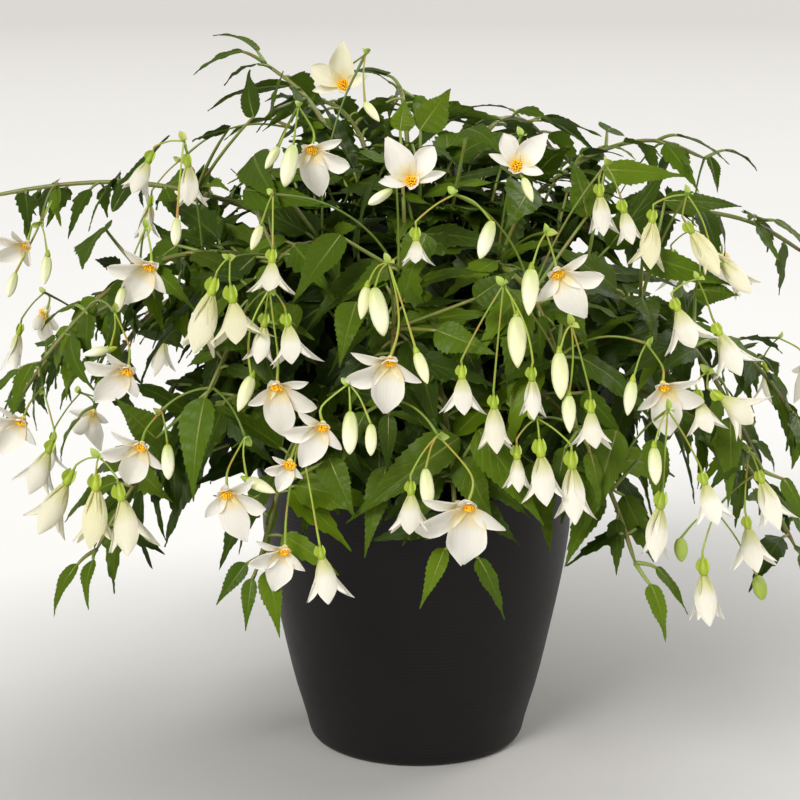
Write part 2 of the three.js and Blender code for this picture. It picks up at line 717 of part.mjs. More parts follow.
// Every bloom as a piece: its eye, the way it faces and its stalk from the fork.
function member(spec, fork, draw) {
  const { kind, eye, facing, down, long } = spec;
  const away = minus(eye, fork);
  const reach = size(away);
  const swing = [draw(-3, 3), draw(-3, 3), 0];
  const plain = kind === "bell" || long < 37;
  if (kind === "open" || kind === "bell") {
    const rear = plus(eye, times(facing, -1));
    const enter = unit(plus(times(facing, -0.8), [0, 0, kind === "open" ? 0.9 : 0.3]));
    const mid = plus(rear, times(enter, 0.36 * reach), swing);
    const near = plus(fork, times(unit(minus(mid, fork)), 0.8));
    const path = [near, mid, rear];
    const radii = [PEDICEL_FOOT, PEDICEL_RADIUS, 1.5];
    if (kind === "bell") {
      path[1] = plus(rear, times(facing, -8));
      radii[1] = spec.ovary ? 3.3 : PEDICEL_RADIUS;
      if (!spec.ovary) path.splice(1, 1);
      if (!spec.ovary) radii.splice(1, 1);
    }
    const spread = kind === "open" ? draw(62, 70) : draw(8, 26);
    const curl = kind === "open" ? draw(0.02, 0.12) : draw(0.02, 0.26);
    const opened = spec.roll < 0 ? OPEN_TEPALS_LEFT : OPEN_TEPALS;
    const tepals = kind === "open" ? opened : BELL_TEPALS;
    return bloom({ path, radii, facing, down, long, spread, curl, plain, tepals });
  }
  const fat = kind === "pod" ? 0.3 : 0.2;
  const top = plus(eye, times(facing, -long / 2));
  const path = [plus(fork, times(unit(minus(top, fork)), 0.8)), top];
  path.push(plus(top, times(facing, long * 0.36)), plus(top, times(facing, long)));
  const wide = Math.max(3, long * fat);
  return pointed(path, [PEDICEL_FOOT, PEDICEL_RADIUS, wide, 0], 3);
}

function posed(spec, draw, outward) {
  const eye = canopyAt(spec.px, spec.py, outward);
  const rim = outwardAt(eye);
  const roll = spec.roll * DEG;
  const long = spec.long * onePixel;
  if (spec.kind === "open") {
    const nod = Math.abs(spec.roll) > 120 ? 0.2 : -0.9;
    const facing = unit(plus(times(VIEWER, 0.7), times(rim, 0.45), times(UP, nod + draw(-0.1, 0.1))));
    return { ...spec, eye, facing, down: [Math.sin(roll), 0, -Math.cos(roll)], long };
  }
  const hang = [Math.sin(roll), 0, -Math.cos(roll)];
  const facing = unit(plus(hang, times(VIEWER, 0.22), times(rim, 0.12)));
  const ovary = spec.kind === "bell" && spec.long > 50;
  return { ...spec, eye, facing, down: VIEWER, long, ovary };
}

const peduncle = (start, fork) => {
  const way = unit(minus(fork, start));
  const path = [start, plus(fork, times(way, -KNOT)), fork, plus(fork, times(way, KNOT))];
  return pointed(path, [1.3, 1.2, KNOT, 0], 4);
};

// A spray: a stalk from its stem to a fork, and the blooms that hang from it.
function spray(index, specs) {
  for (let variant = 0; variant < 12; variant++) {
    const draw = draws(5000 + index * 32 + variant);
    const members = specs.map((spec) =>
      spec.eye ? spec : posed(spec, draw, 4 + draw(0, 3) + variant * 1.6),
    );
    const middle = times(plus(...members.map((m) => m.eye), [0, 0, 0]), 1 / members.length);
    const high = Math.max(...members.map((m) => m.eye[2] + (m.kind === "bud" ? m.long / 2 : 0)));
    const rim = outwardAt(middle);
    const fork = plus(
      [middle[0], middle[1], high + draw(16, 26)],
      times(rim, draw(-12, -4)),
      [draw(-4, 4), 0, 0],
    );
    const root = nearestStems(fork)[Math.floor(variant / 3)];
    const way = unit(minus(fork, root.point));
    let start = null;
    for (let gap = 2; gap < 26; gap += 0.7) {
      const from = plus(root.point, times(way, gap));
      const stalk = peduncle(from, fork);
      if (clearOf(stalk)) {
        start = from;
        break;
      }
    }
    if (!start) continue;
    const bodies = [peduncle(start, fork), ...members.map((m) => member(m, fork, draw))];
    if (!bodies.every((body) => clearOf(body))) continue;
    const whole = Manifold.union(bodies);
    if (whole.decompose().length === 1) return whole;
  }
  return null;
}

const sprays = [];
const addSpray = (index, specs) => {
  const body = spray(index, specs);
  if (!body) return;
  const name = "flower_spray_" + String(sprays.length).padStart(2, "0");
  place(name, "spray", body);
  sprays.push({ name, body });
};
FRONT_SPRAYS.forEach((specs, index) => addSpray(index, specs));

// Sprays of the sides and the back: azimuth and height.
const BACK_SPRAYS = [
  [20, 300],
  [38, 380],
  [55, 250],
  [72, 340],
  [84, 440],
  [95, 270],
  [112, 380],
  [126, 300],
  [140, 440],
  [152, 240],
  [166, 340],
  [206, 440],
];
BACK_SPRAYS.forEach(([az, z], k) => {
  const share = Math.sqrt(1 - (Math.max(0, z - CANOPY_MIDDLE) / CANOPY_SIZE[2]) ** 2);
  const draw = draws(7000 + k);
  const specs = ["open", "bell"].map((kind, j) => {
    const turn = (az + (j ? 6 : -5)) * DEG;
    const eye = [
      share * CANOPY_SIZE[0] * Math.cos(turn),
      share * CANOPY_SIZE[1] * Math.sin(turn),
      z - j * draw(8, 22),
    ];
    const rim = outwardAt(eye);
    const facing = kind === "open" ? plus(rim, [0, 0, -0.8]) : plus(times(rim, 0.25), [0, 0, -1]);
    const down = kind === "open" ? [0, 0, -1] : rim;
    return { kind, eye, facing: unit(facing), down, long: 36, roll: k % 2 ? 1 : -1 };
  });
  addSpray(100 + k, specs);
});

stems.forEach((stem) => {
  stem.points.forEach((point, i) => {
    if (i < 1 || coreShare(point) < 1) return;
    const last = i === stem.points.length - 1;
    const along = unit(minus(stem.points[Math.min(i + 1, stem.points.length - 1)], stem.points[i - 1]));
    const aside = unit(cross(along, UP));
    for (let side = last ? -1 : 0; side < (last ? 2 : 1); side++) {
      const turn = last ? side : i % 2 ? 1 : -1;
      const index = stem.index * 40 + i * 3 + side;
      grow(
        clumpOfStem(stem),
        index,
        (draw) => {
          const angle = (last ? 38 * turn : turn * draw(34, 78)) * DEG;
          const way = unit(
            plus(
              times(along, Math.cos(angle)),
              times(aside, Math.sin(angle)),
              times(UP, draw(-0.5, 0.3)),
            ),
          );
          const long = (last ? draw(44, 58) : draw(62, 88)) * (1 - (0.18 * i) / stem.points.length);
          const base = plus(point, times(unit(plus(way, times(UP, 0.5))), draw(STALK - 5, STALK + 6)));
          const tip = plus(base, times(unit(plus(way, [0, 0, draw(-0.75, -0.1)])), long));
          const root = plus(point, times(unit(minus(point, base)), last ? 0.6 : 1.1));
          return {
            root,
            base,
            tip,
            lift: plus(UP, times(outwardAt(point), 0.7), [draw(-0.5, 0.5), draw(-0.9, 0.2), 0]),
            width: long * draw(0.34, 0.42),
            fold: draw(0.1, 0.35),
            arch: draw(0.03, 0.12),
            fine: false,
          };
        },
        10,
        200000,
      );
    }
  });
});

// Leaves that stand out of each core: the first one hangs over the rim.
const CORE_LEAVES = 4;
clumps.forEach(({ name }, k) => {
  for (let j = 0; j < CORE_LEAVES; j++) {
    const skirt = j === 0;
    const pose = (draw) => {
      const az = sectorAzimuth(k) + draw(-12, 12);
      const high = (skirt ? draw(-22, 0) : j % 2 === 1 ? draw(8, 38) : draw(38, 80)) * DEG;
      const flat = Math.cos(high);
      const out = [flat * Math.cos(az * DEG), flat * Math.sin(az * DEG), Math.sin(high)];
      const skin = out.map((v, i) => v * CORE_SIZE[i]);
      const root = plus(times(skin, 0.86), [0, 0, CORE_MIDDLE]);
      const normal = unit(out.map((v, i) => v / CORE_SIZE[i]));
      const aside = unit(cross(normal, UP));
      const base = plus(root, times(unit(plus(normal, times(UP, 0.2))), draw(36, 52)));
      const drop = skirt ? draw(-1.6, -0.9) : draw(-0.9, 0.3);
      const way = plus(times(normal, 0.45), times(aside, draw(-0.8, 0.8)), times(UP, drop));
      const long = draw(66, 96);
      return {
        root,
        base,
        tip: plus(base, times(unit(way), long)),
        lift: plus(normal, times(UP, 0.5)),
        width: long * draw(0.36, 0.44),
        fold: draw(0.1, 0.3),
        arch: draw(0.02, 0.1),
        fine: false,
      };
    };
    grow(name, k * CORE_LEAVES + j, pose, 10, 400000);
  }
});

// Assembly
const part = new THREE.Group();
part.name = "potted_bolivian_begonia";

function put(name, body, colour, roughness) {
  const { vertProperties, triVerts, numProp } = body.getMesh();
  const at = new Float32Array((vertProperties.length / numProp) * 3);
  for (let i = 0; i < at.length / 3; i++) {
    at.set(vertProperties.subarray(i * numProp, i * numProp + 3), i * 3);
  }
  const geometry = new THREE.BufferGeometry();
  geometry.setAttribute("position", new THREE.BufferAttribute(at, 3));
  geometry.setIndex(new THREE.BufferAttribute(new Uint32Array(triVerts), 1));
  const material = new THREE.MeshStandardMaterial({ color: colour, roughness, metalness: 0 });
  const mesh = new THREE.Mesh(geometry, material);
  mesh.name = name;
  part.add(mesh);
}

put("pot", makePot(), 0x2b2829, 0.55);
put("soil", makeSoil(), 0x3a2a1e, 0.95);
clumps.forEach(({ name, body }) => put(name, body.simplify(0.02), 0x35541f, 0.5));
sprays.forEach(({ name, body }) => put(name, body.simplify(0.02), 0xefe9dc, 0.55));

export default part;
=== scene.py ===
"""Looks of the potted bolivian begonia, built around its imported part.

Lengths are millimetres in the frame of the part until a mesh is written, in metres.
"""
import math

import bpy
import numpy as np
from mathutils.kdtree import KDTree
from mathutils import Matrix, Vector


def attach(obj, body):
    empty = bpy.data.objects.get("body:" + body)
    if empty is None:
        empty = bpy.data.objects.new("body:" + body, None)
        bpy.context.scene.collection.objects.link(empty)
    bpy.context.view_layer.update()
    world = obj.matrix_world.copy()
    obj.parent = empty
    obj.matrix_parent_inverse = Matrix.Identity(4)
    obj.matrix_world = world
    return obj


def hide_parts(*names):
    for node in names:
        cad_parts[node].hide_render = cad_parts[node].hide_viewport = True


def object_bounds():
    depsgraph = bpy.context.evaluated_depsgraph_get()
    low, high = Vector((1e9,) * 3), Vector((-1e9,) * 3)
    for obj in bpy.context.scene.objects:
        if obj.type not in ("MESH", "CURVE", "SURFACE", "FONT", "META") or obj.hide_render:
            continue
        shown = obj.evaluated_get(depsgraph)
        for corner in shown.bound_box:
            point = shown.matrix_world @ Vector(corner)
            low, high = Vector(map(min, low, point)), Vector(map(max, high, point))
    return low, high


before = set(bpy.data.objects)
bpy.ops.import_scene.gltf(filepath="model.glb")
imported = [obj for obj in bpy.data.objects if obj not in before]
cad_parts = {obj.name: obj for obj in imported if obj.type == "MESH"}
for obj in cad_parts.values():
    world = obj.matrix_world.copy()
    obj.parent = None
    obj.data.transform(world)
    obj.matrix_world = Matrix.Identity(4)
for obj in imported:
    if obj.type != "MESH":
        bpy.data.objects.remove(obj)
CAD_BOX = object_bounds()

MM = 0.001
DEG = math.pi / 180
FULL_TURN = 6.28
UP = np.array([0.0, 0.0, 1.0])

# Driving dimensions, as in the part
POT_HEIGHT = 232
POT_BASE_RADIUS = 82
POT_RIM_RADIUS = 130
POT_WALL = 2.6
POT_FLOOR = 4
SOIL_TOP = 210
STUB_CIRCLE = 34
STUB_TOP = 232
SECTORS = 12
SECTOR_WIDTH = 360 / SECTORS
CORE_SIZE = np.array([172.0, 150.0, 148.0])
CORE_MIDDLE = np.array([0.0, 0.0, 306.0])
STEM_RADIUS = 3.4
STEM_TIP_RADIUS = 1.8
CANOPY_SIZE = np.array([338.0, 272.0, 262.0])
CANOPY_MIDDLE = 286
STALK = 16
FINE_WIDTH = 38
STEM_STEP = 54
LEAST_PEDUNCLE = 14

# View of the photograph: 800 pixels wide, camera pitched down.
PHOTO_WIDTH = 800
PHOTO_MIDDLE = 400
PHOTO_FOCUS = 2200
PHOTO_PITCH = 12.5 * DEG
PHOTO_EYE = np.array([-13.4, -1744.5, 669.5])
ONE_PIXEL = 0.78
VIEWER = np.array([0.0, -1.0, 0.0])

# Seeds of the draws: the first five are the part's own, the others only choose looks and small leaves.
SPRAY_SEED = 5000
BACK_SPRAY_SEED = 7000
FRONT_LEAF_SEED = 90000
STEM_LEAF_SEED = 200000
CORE_LEAF_SEED = 400000
INNER_SEED = 700000
CROWN_SEED = 750000
SPRAY_LOOK_SEED = 800000
CLUMP_LOOK_SEED = 900000
LEAF_LOOK_SEED = 910000
FILL_SEED = 1000000


# Vectors and seeded draws

def vec(*values):
    return np.array(values, dtype=float)


def unit(v):
    return v / (np.linalg.norm(v) or 1.0)


def size(v):
    return float(np.linalg.norm(v))


def square(v, to):
    return unit(v - to * np.dot(v, to))


def polar(radius, azimuth, z):
    return vec(radius * math.cos(azimuth * DEG), radius * math.sin(azimuth * DEG), z)


def bearing(az, high):
    """The unit vector at an azimuth in degrees and a height in radians."""
    flat = math.cos(high)
    return vec(flat * math.cos(az * DEG), flat * math.sin(az * DEG), math.sin(high))


BITS = 0xFFFFFFFF


def whole(a):
    """A number as a signed whole one of 32 bits."""
    a &= BITS
    return a - BITS - 1 if a & 0x80000000 else a


def draws(seed):
    """The part's own seeded draws: one stream for each stem, spray or leaf."""
    state = [whole(seed)]

    def draw(low, high):
        a = whole(state[0] + 0x6D2B79F5)
        state[0] = a
        t = whole((a ^ ((a & BITS) >> 15)) * (1 | a))
        t = whole(t + whole((t ^ ((t & BITS) >> 7)) * (61 | t))) ^ t
        t = (t ^ ((t & BITS) >> 14)) & BITS
        return low + (high - low) * (t / (BITS + 1))

    return draw


CURVE_STEPS = 24


def even_steps(points, step):
    """A smooth curve through points, sampled at even steps of its length."""
    dense = []
    for i in range(len(points) - 1):
        p0 = points[max(i - 1, 0)]
        p1 = points[i]
        p2 = points[i + 1]
        p3 = points[min(i + 2, len(points) - 1)]
        for k in range(CURVE_STEPS):
            t = k / CURVE_STEPS
            bend = 2 * p0 - 5 * p1 + 4 * p2 - p3
            twist = -p0 + 3 * p1 - 3 * p2 + p3
            dense.append((2 * p1 + (p2 - p0) * t + bend * t * t + twist * t**3) * 0.5)
    dense.append(points[-1])
    dense = np.array(dense)
    run = np.concatenate([[0], np.cumsum(np.linalg.norm(np.diff(dense, axis=0), axis=1))])
    count = max(2, math.floor(run[-1] / step + 0.5))
    wanted = np.linspace(0, run[-1], count + 1)
    return np.stack([np.interp(wanted, run, dense[:, k]) for k in range(3)], axis=1)


# Steps of depth along the ray of a pixel, and where it ends
RAY_STEP = 2
RAY_END = 40.0001


def canopy_at(px, py, outward):
    """The point of the canopy's front that a pixel of the photograph shows."""
    ahead = vec(0, math.cos(PHOTO_PITCH), -math.sin(PHOTO_PITCH))
    above = vec(0, math.sin(PHOTO_PITCH), math.cos(PHOTO_PITCH))
    side = vec((px - PHOTO_MIDDLE) / PHOTO_FOCUS, 0, 0)
    ray = ahead + side + above * ((PHOTO_MIDDLE - py) / PHOTO_FOCUS)
    a, b, c = CANOPY_SIZE + outward
    depth = np.arange(-b - 20, RAY_END, RAY_STEP)
    points = PHOTO_EYE + np.outer((depth - PHOTO_EYE[1]) / ray[1], ray)
    high = np.maximum(0, points[:, 2] - CANOPY_MIDDLE) / c
    reach = (points[:, 0] / a) ** 2 + (points[:, 1] / b) ** 2 + high**2
    inside = np.nonzero(reach <= 1)[0]
    last = inside[0] + 1 if len(inside) else len(reach)
    return points[int(np.argmin(reach[:last]))]


def outward_at(p):
    return unit(vec(p[0] / CANOPY_SIZE[0] ** 2, p[1] / CANOPY_SIZE[1] ** 2, 0))


def core_share(p):
    """How far out of the core a point is: 1 on its smooth surface."""
    return size((p - CORE_MIDDLE) / CORE_SIZE)


# Meshes

class Skin:
    """Collects the faces of one piece, with a place along each blade and two tones."""

    def __init__(self):
        self.vertices = []
        self.faces = []
        self.slots = []
        self.places = []
        self.tones = []
        self.count = 0

    def add(self, vertices, faces, slot, places=None, tone=0.5, light=0.5):
        n = len(vertices)
        self.vertices.append(np.asarray(vertices, dtype=float).reshape(-1, 3))
        self.faces.append(np.asarray(faces, dtype=int) + self.count)
        self.slots.append((len(faces), slot))
        self.places.append(np.zeros((n, 2)) if places is None else np.asarray(places, dtype=float))
        self.tones.append(np.tile([tone, light], (n, 1)))
        self.count += n

    def more(self, faces, slot, start=0):
        """Adds faces between vertices that the skin already has."""
        self.faces.append(faces + start)
        self.slots.append((len(faces), slot))

    def build(self, name, materials):
        vertices = np.concatenate(self.vertices) * MM
        mesh = bpy.data.meshes.new(name)
        corners = np.concatenate([f.ravel() for f in self.faces])
        lengths = np.concatenate([np.full(len(f), f.shape[1]) for f in self.faces])
        starts = np.concatenate([[0], np.cumsum(lengths)[:-1]])
        mesh.vertices.add(len(vertices))
        mesh.vertices.foreach_set("co", vertices.ravel())
        mesh.loops.add(len(corners))
        mesh.loops.foreach_set("vertex_index", corners)
        mesh.polygons.add(len(lengths))
        mesh.polygons.foreach_set("loop_start", starts)
        used = list(dict.fromkeys(slot for _, slot in self.slots))
        for slot in used:
            mesh.materials.append(materials[slot])
        index = np.concatenate([np.full(n, used.index(slot)) for n, slot in self.slots])
        mesh.polygons.foreach_set("material_index", index)
        mesh.polygons.foreach_set("use_smooth", np.ones(len(lengths), dtype=bool))
        places = np.concatenate(self.places)
        layer = mesh.uv_layers.new(name="along")
        layer.data.foreach_set("uv", places[corners].ravel())
        tones = np.concatenate(self.tones)
        for k, label in enumerate(("tone", "light")):
            attribute = mesh.attributes.new(label, "FLOAT", "POINT")
            attribute.data.foreach_set("value", np.ascontiguousarray(tones[:, k]))
        mesh.update(calc_edges=True)
        mesh.validate()
        mesh.set_sharp_from_angle(angle=100 * DEG)
        piece = bpy.data.objects.new(name, mesh)
        bpy.context.scene.collection.objects.link(piece)
        return piece


def sheet_faces(rows, columns):
    """Quads of a grid of points, row after row."""
    i, j = np.meshgrid(np.arange(rows - 1), np.arange(columns - 1), indexing="ij")
    a = (i * columns + j).ravel()
    return np.stack([a, a + 1, a + columns + 1, a + columns], axis=1)


def ring_faces(rows, sides):
    """Quads between closed rings of points, ring after ring."""
    i, j = np.meshgrid(np.arange(rows - 1), np.arange(sides), indexing="ij")
    a = (i * sides + j).ravel()
    b = (i * sides + (j + 1) % sides).ravel()
    return np.stack([a, b, b + sides, a + sides], axis=1)


def grid_normals(grid):
    along = np.gradient(grid, axis=0)
    aside = np.gradient(grid, axis=1)
    normal = np.cross(aside, along)
    return normal / np.maximum(np.linalg.norm(normal, axis=2, keepdims=True), 1e-9)


def add_blade(skin, grid, places, thickness, tone, light, slots):
    """A thin closed blade: a front and a back grid that share their outer edge."""
    rows, columns, _ = grid.shape
    normal = grid_normals(grid)
    back = grid - normal * thickness
    inner = np.zeros((rows, columns), dtype=bool)
    inner[1:-1, 1:-1] = True
    number = np.arange(rows * columns).reshape(rows, columns)
    below = number.copy()
    below[inner] = rows * columns + np.arange(inner.sum())
    vertices = np.concatenate([grid.reshape(-1, 3), back[inner]])
    spots = np.concatenate([places.reshape(-1, 2), places[inner]])
    front_faces = sheet_faces(rows, columns)
    back_faces = below.ravel()[front_faces][:, ::-1]
    skin.add(vertices, front_faces, slots[0], spots, tone, light)
    skin.more(back_faces, slots[1], skin.count - len(vertices))


def circle_turns(sides):
    return np.arange(sides) / sides * 2 * math.pi


def rings_along(path, radii, sides):
    """Rings of corners square to a path, carried along it without twisting."""
    path = np.asarray(path, dtype=float)
    along = np.gradient(path, axis=0)
    rings = []
    arm = vec(0.3, 1, 0.2)
    turn = circle_turns(sides)
    for i, point in enumerate(path):
        way = unit(along[i])
        arm = square(arm, way)
        aside = np.cross(way, arm)
        ring = np.outer(np.cos(turn), arm) + np.outer(np.sin(turn), aside)
        rings.append(point + ring * radii[i])
    return np.array(rings)


def add_tube(skin, path, radii, sides, slot, tone=0.5, light=0.5, rings=None):
    """A closed round stalk along a path."""
    rings = rings_along(path, radii, sides) if rings is None else rings
    rows = len(rings)
    places = np.zeros((rows, sides, 2))
    places[:, :, 0] = np.arange(sides) / sides
    places[:, :, 1] = np.linspace(0, 1, rows)[:, None]
    skin.add(rings.reshape(-1, 3), ring_faces(rows, sides), slot, places.reshape(-1, 2), tone, light)
    caps = np.array([np.arange(sides)[::-1], (rows - 1) * sides + np.arange(sides)])
    skin.more(caps, slot, skin.count - rows * sides)


def bowed(a, b, bow, count):
    """Points of an arc from a to b whose middle is moved by bow."""
    t = np.linspace(0, 1, count)[:, None]
    return a * (1 - t) + b * t + bow * 4 * t * (1 - t)


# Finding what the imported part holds

# How close a packed vertex lies to a point that is found again, and the poses that a rule may try
MATCH = 0.06
FRONT_POSES = 24
LEAF_POSES = 10
SPRAY_POSES = 12


class Node:
    """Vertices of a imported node, to tell which of a rule's poses it was built with."""

    def __init__(self, name):
        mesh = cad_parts[name].data
        at = np.empty(len(mesh.vertices) * 3)
        mesh.vertices.foreach_get("co", at)
        at = at.reshape(-1, 3) / MM
        self.tree = KDTree(len(at))
        for i, point in enumerate(at):
            self.tree.insert(point, i)
        self.tree.balance()

    def share(self, points):
        """How many of the points are vertices of the node, as a share."""
        found = [self.tree.find(point)[2] < MATCH for point in points]
        return sum(found) / len(found)


def clump_name(k):
    return f"leafy_stems_{k:02d}"


packed = {name: Node(name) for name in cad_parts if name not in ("pot", "soil")}

# Stems: azimuth, then radius and height of the points that each arches through.
STEMS = [
    (-95, [(60, 370), (118, 425), (186, 400), (236, 335)]),
    (-84, [(70, 300), (150, 328), (216, 292), (256, 236)]),
    (-64, [(70, 370), (140, 412), (205, 385), (256, 312)]),
    (-55, [(70, 300), (150, 320), (226, 278), (272, 212)]),
    (-36, [(80, 350), (170, 388), (250, 356), (312, 270)]),
    (-24, [(80, 290), (165, 312), (262, 270), (316, 196)]),
    (5, [(90, 390), (180, 432), (262, 428), (318, 398)]),
    (-8, [(90, 330), (185, 356), (272, 318), (326, 236)]),
    (26, [(80, 410), (150, 468), (215, 484), (272, 466)]),
    (35, [(80, 320), (165, 344), (245, 300), (296, 224)]),
    (57, [(55, 420), (100, 486), (160, 500), (222, 466)]),
    (65, [(75, 320), (160, 344), (232, 300), (276, 222)]),
    (96, [(45, 430), (80, 496), (120, 524), (176, 508)]),
    (85, [(70, 330), (150, 356), (214, 312), (258, 232)]),
    (124, [(50, 420), (86, 492), (130, 516), (190, 488)]),
    (114, [(75, 320), (160, 344), (232, 300), (278, 226)]),
    (146, [(55, 430), (92, 500), (122, 536), (150, 548)]),
    (156, [(80, 330), (170, 366), (255, 330), (304, 250)]),
    (176, [(90, 400), (170, 448), (258, 458), (344, 446)]),
    (187, [(90, 340), (180, 380), (268, 352), (330, 274)]),
    (205, [(80, 370), (165, 414), (245, 400), (312, 340)]),
    (214, [(80, 290), (168, 306), (244, 262), (290, 204)]),
    (236, [(70, 380), (140, 430), (204, 408), (262, 340)]),
    (245, [(70, 300), (150, 322), (222, 282), (266, 222)]),
]


def sector_of(az):
    return math.floor(((az + 450) % 360) / SECTOR_WIDTH + 0.5) % SECTORS


def sector_azimuth(k):
    return -90 + SECTOR_WIDTH * k


class Stem:
    def __init__(self, index, az, path):
        self.index = index
        self.sector = sector_of(az)
        foot = polar(STUB_CIRCLE, sector_azimuth(self.sector), STUB_TOP)
        self.points = even_steps([foot] + [polar(r, az, z) for r, z in path], STEM_STEP)


stems = [Stem(index, az, path) for index, (az, path) in enumerate(STEMS)]


def nearest_stems(to):
    """Stem points outside the core, the nearest first."""
    found = []
    for stem in stems:
        for i, point in enumerate(stem.points):
            if i < 1 or core_share(point) < 1.02:
                continue
            far = size(point - to) + max(0.0, point[2] - to[2]) * 0.2
            if far > LEAST_PEDUNCLE:
                found.append((far, len(found), stem, point))
    return sorted(found, key=lambda f: f[:2])


# Leaves

class Leaf:
    """Place and form of one leaf, as the part's source gives them."""

    def __init__(self, root, base, tip, lift, width, fold, arch, fine):
        self.root = root
        self.base = base
        self.tip = tip
        self.axis = tip - base
        self.way = unit(self.axis)
        self.up = square(lift, self.way)
        self.side = np.cross(self.way, self.up)
        self.width = width
        self.fold = fold
        self.arch = arch
        self.fine = fine

    def rib(self, t):
        rise = self.arch * size(self.axis) * 4 * t * (1 - t)
        return self.base + np.multiply.outer(t, self.axis) + np.multiply.outer(rise, self.up)

    def marks(self):
        """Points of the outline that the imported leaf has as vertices."""
        edge = [(0.27, 1), (0.56, 0.74)] if self.fine else [(0.12, 0.86), (0.43, 0.94)]
        marks = [self.tip]
        for s, uneven in ((1, 1.14), (-1, 0.86)):
            for i, (t, w) in enumerate(edge):
                half = w * uneven * self.width / 2
                first = i == 0 and not self.fine
                at = t if s > 0 else t + (0.05 if first else 0.04)
                marks.append(self.rib(at) + self.side * s * half + self.up * self.fold * half)
        return marks


def grown(node, index, pose, tries, seed):
    """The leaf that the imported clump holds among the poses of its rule, or None."""
    for variant in range(tries):
        leaf = pose(draws(seed + index * 32 + variant), variant)
        if core_share(leaf.base) < 1.03 or core_share(leaf.tip) < 1.08:
            continue
        marks = leaf.marks()
        if packed[node].share(marks[:1]) == 1 and packed[node].share(marks[1:]) >= 0.5:
            return leaf
    return None


# Large leaves of the front, as pixels of the photograph: foot of the blade, tip, and width.
FRONT_LEAVES = [
    (455, 442, 345, 525, 40), (462, 456, 496, 524, 34), (482, 432, 548, 526, 38), (618, 432, 582, 536, 40),
    (650, 440, 656, 514, 30), (345, 232, 292, 304, 34), (200, 398, 190, 500, 36), (352, 300, 336, 372, 30),
    (246, 190, 330, 206, 34), (430, 238, 404, 300, 34), (108, 226, 84, 274, 50), (110, 208, 168, 132, 30),
    (470, 130, 506, 156, 30), (600, 166, 686, 172, 28), (660, 196, 744, 208, 26), (640, 250, 734, 284, 34),
    (528, 190, 506, 228, 44), (590, 216, 572, 158, 34), (250, 160, 278, 208, 44), (232, 130, 190, 140, 26),
    (250, 120, 248, 72, 30), (268, 112, 284, 68, 28), (420, 128, 452, 92, 36), (396, 130, 404, 96, 26),
    (300, 330, 262, 300, 30), (440, 330, 500, 352, 32), (560, 300, 590, 348, 34), (470, 300, 520, 270, 30),
    (330, 460, 352, 520, 30), (390, 470, 362, 560, 26), (240, 520, 226, 566, 26), (520, 520, 526, 560, 24),
    (744, 414, 786, 440, 46), (160, 440, 120, 400, 34), (250, 330, 200, 350, 34), (690, 290, 740, 300, 30),
]


def front_leaf(index, row):
    bx, by, tx, ty, wide = row
    target = canopy_at(bx, by, -16)
    _, _, stem, point = nearest_stems(target)[0]
    core = (target - CORE_MIDDLE) * (0.93 / core_share(target)) + CORE_MIDDLE
    use_core = size(core - target) < size(point - target) and core[2] > 262
    origin = core if use_core else point
    az = math.atan2(origin[1], origin[0]) / DEG
    node = clump_name(sector_of((az + 720) % 360) if use_core else stem.sector)

    def pose(draw, variant):
        base = canopy_at(bx + draw(-5, 5), by + draw(-5, 5), -14 - variant * 1.6)
        tip = canopy_at(tx + draw(-5, 5), ty + draw(-5, 5), 4 - variant * 1.6)
        lift = outward_at(base) + VIEWER * 0.5 + UP * 0.7
        fold = draw(0.12, 0.3)
        arch = draw(0.02, 0.1)
        return Leaf(origin, base, tip, lift, wide * ONE_PIXEL, fold, arch, wide >= FINE_WIDTH)

    return node, grown(node, index, pose, FRONT_POSES, FRONT_LEAF_SEED)


def stem_leaf(stem, i, side):
    point = stem.points[i]
    last = i == len(stem.points) - 1
    along = unit(stem.points[min(i + 1, len(stem.points) - 1)] - stem.points[i - 1])
    aside = unit(np.cross(along, UP))
    turn = side if last else (1 if i % 2 else -1)
    node = clump_name(stem.sector)

    def pose(draw, variant):
        angle = (38 * turn if last else turn * draw(34, 78)) * DEG
        rise = draw(-0.5, 0.3)
        way = unit(along * math.cos(angle) + aside * math.sin(angle) + UP * rise)
        long = (draw(44, 58) if last else draw(62, 88)) * (1 - (0.18 * i) / len(stem.points))
        base = point + unit(way + UP * 0.5) * draw(STALK - 5, STALK + 6)
        tip = base + unit(way + vec(0, 0, draw(-0.75, -0.1))) * long
        tilt = vec(draw(-0.5, 0.5), draw(-0.9, 0.2), 0)
        lift = UP + outward_at(point) * 0.7 + tilt
        width = long * draw(0.34, 0.42)
        fold = draw(0.1, 0.35)
        arch = draw(0.03, 0.12)
        return Leaf(point, base, tip, lift, width, fold, arch, False)

    return node, grown(node, stem.index * 40 + i * 3 + side, pose, LEAF_POSES, STEM_LEAF_SEED)


CORE_LEAVES = 4


def core_leaf(k, j):
    skirt = j % 4 == 0

    def pose(draw, variant):
        az = sector_azimuth(k) + draw(-12, 12)
        high = (draw(-22, 0) if skirt else draw(8, 38) if j % 2 == 1 else draw(38, 80)) * DEG
        out = bearing(az, high)
        root = out * CORE_SIZE * 0.86 + CORE_MIDDLE
        normal = unit(out / CORE_SIZE)
        aside = unit(np.cross(normal, UP))
        base = root + unit(normal + UP * 0.2) * draw(36, 52)
        drop = draw(-1.6, -0.9) if skirt else draw(-0.9, 0.3)
        way = normal * 0.45 + aside * draw(-0.8, 0.8) + UP * drop
        long = draw(66, 96)
        tip = base + unit(way) * long
        width = long * draw(0.36, 0.44)
        fold = draw(0.1, 0.3)
        arch = draw(0.02, 0.1)
        return Leaf(root, base, tip, normal + UP * 0.5, width, fold, arch, False)

    return clump_name(k), grown(clump_name(k), k * CORE_LEAVES + j, pose, LEAF_POSES, CORE_LEAF_SEED)


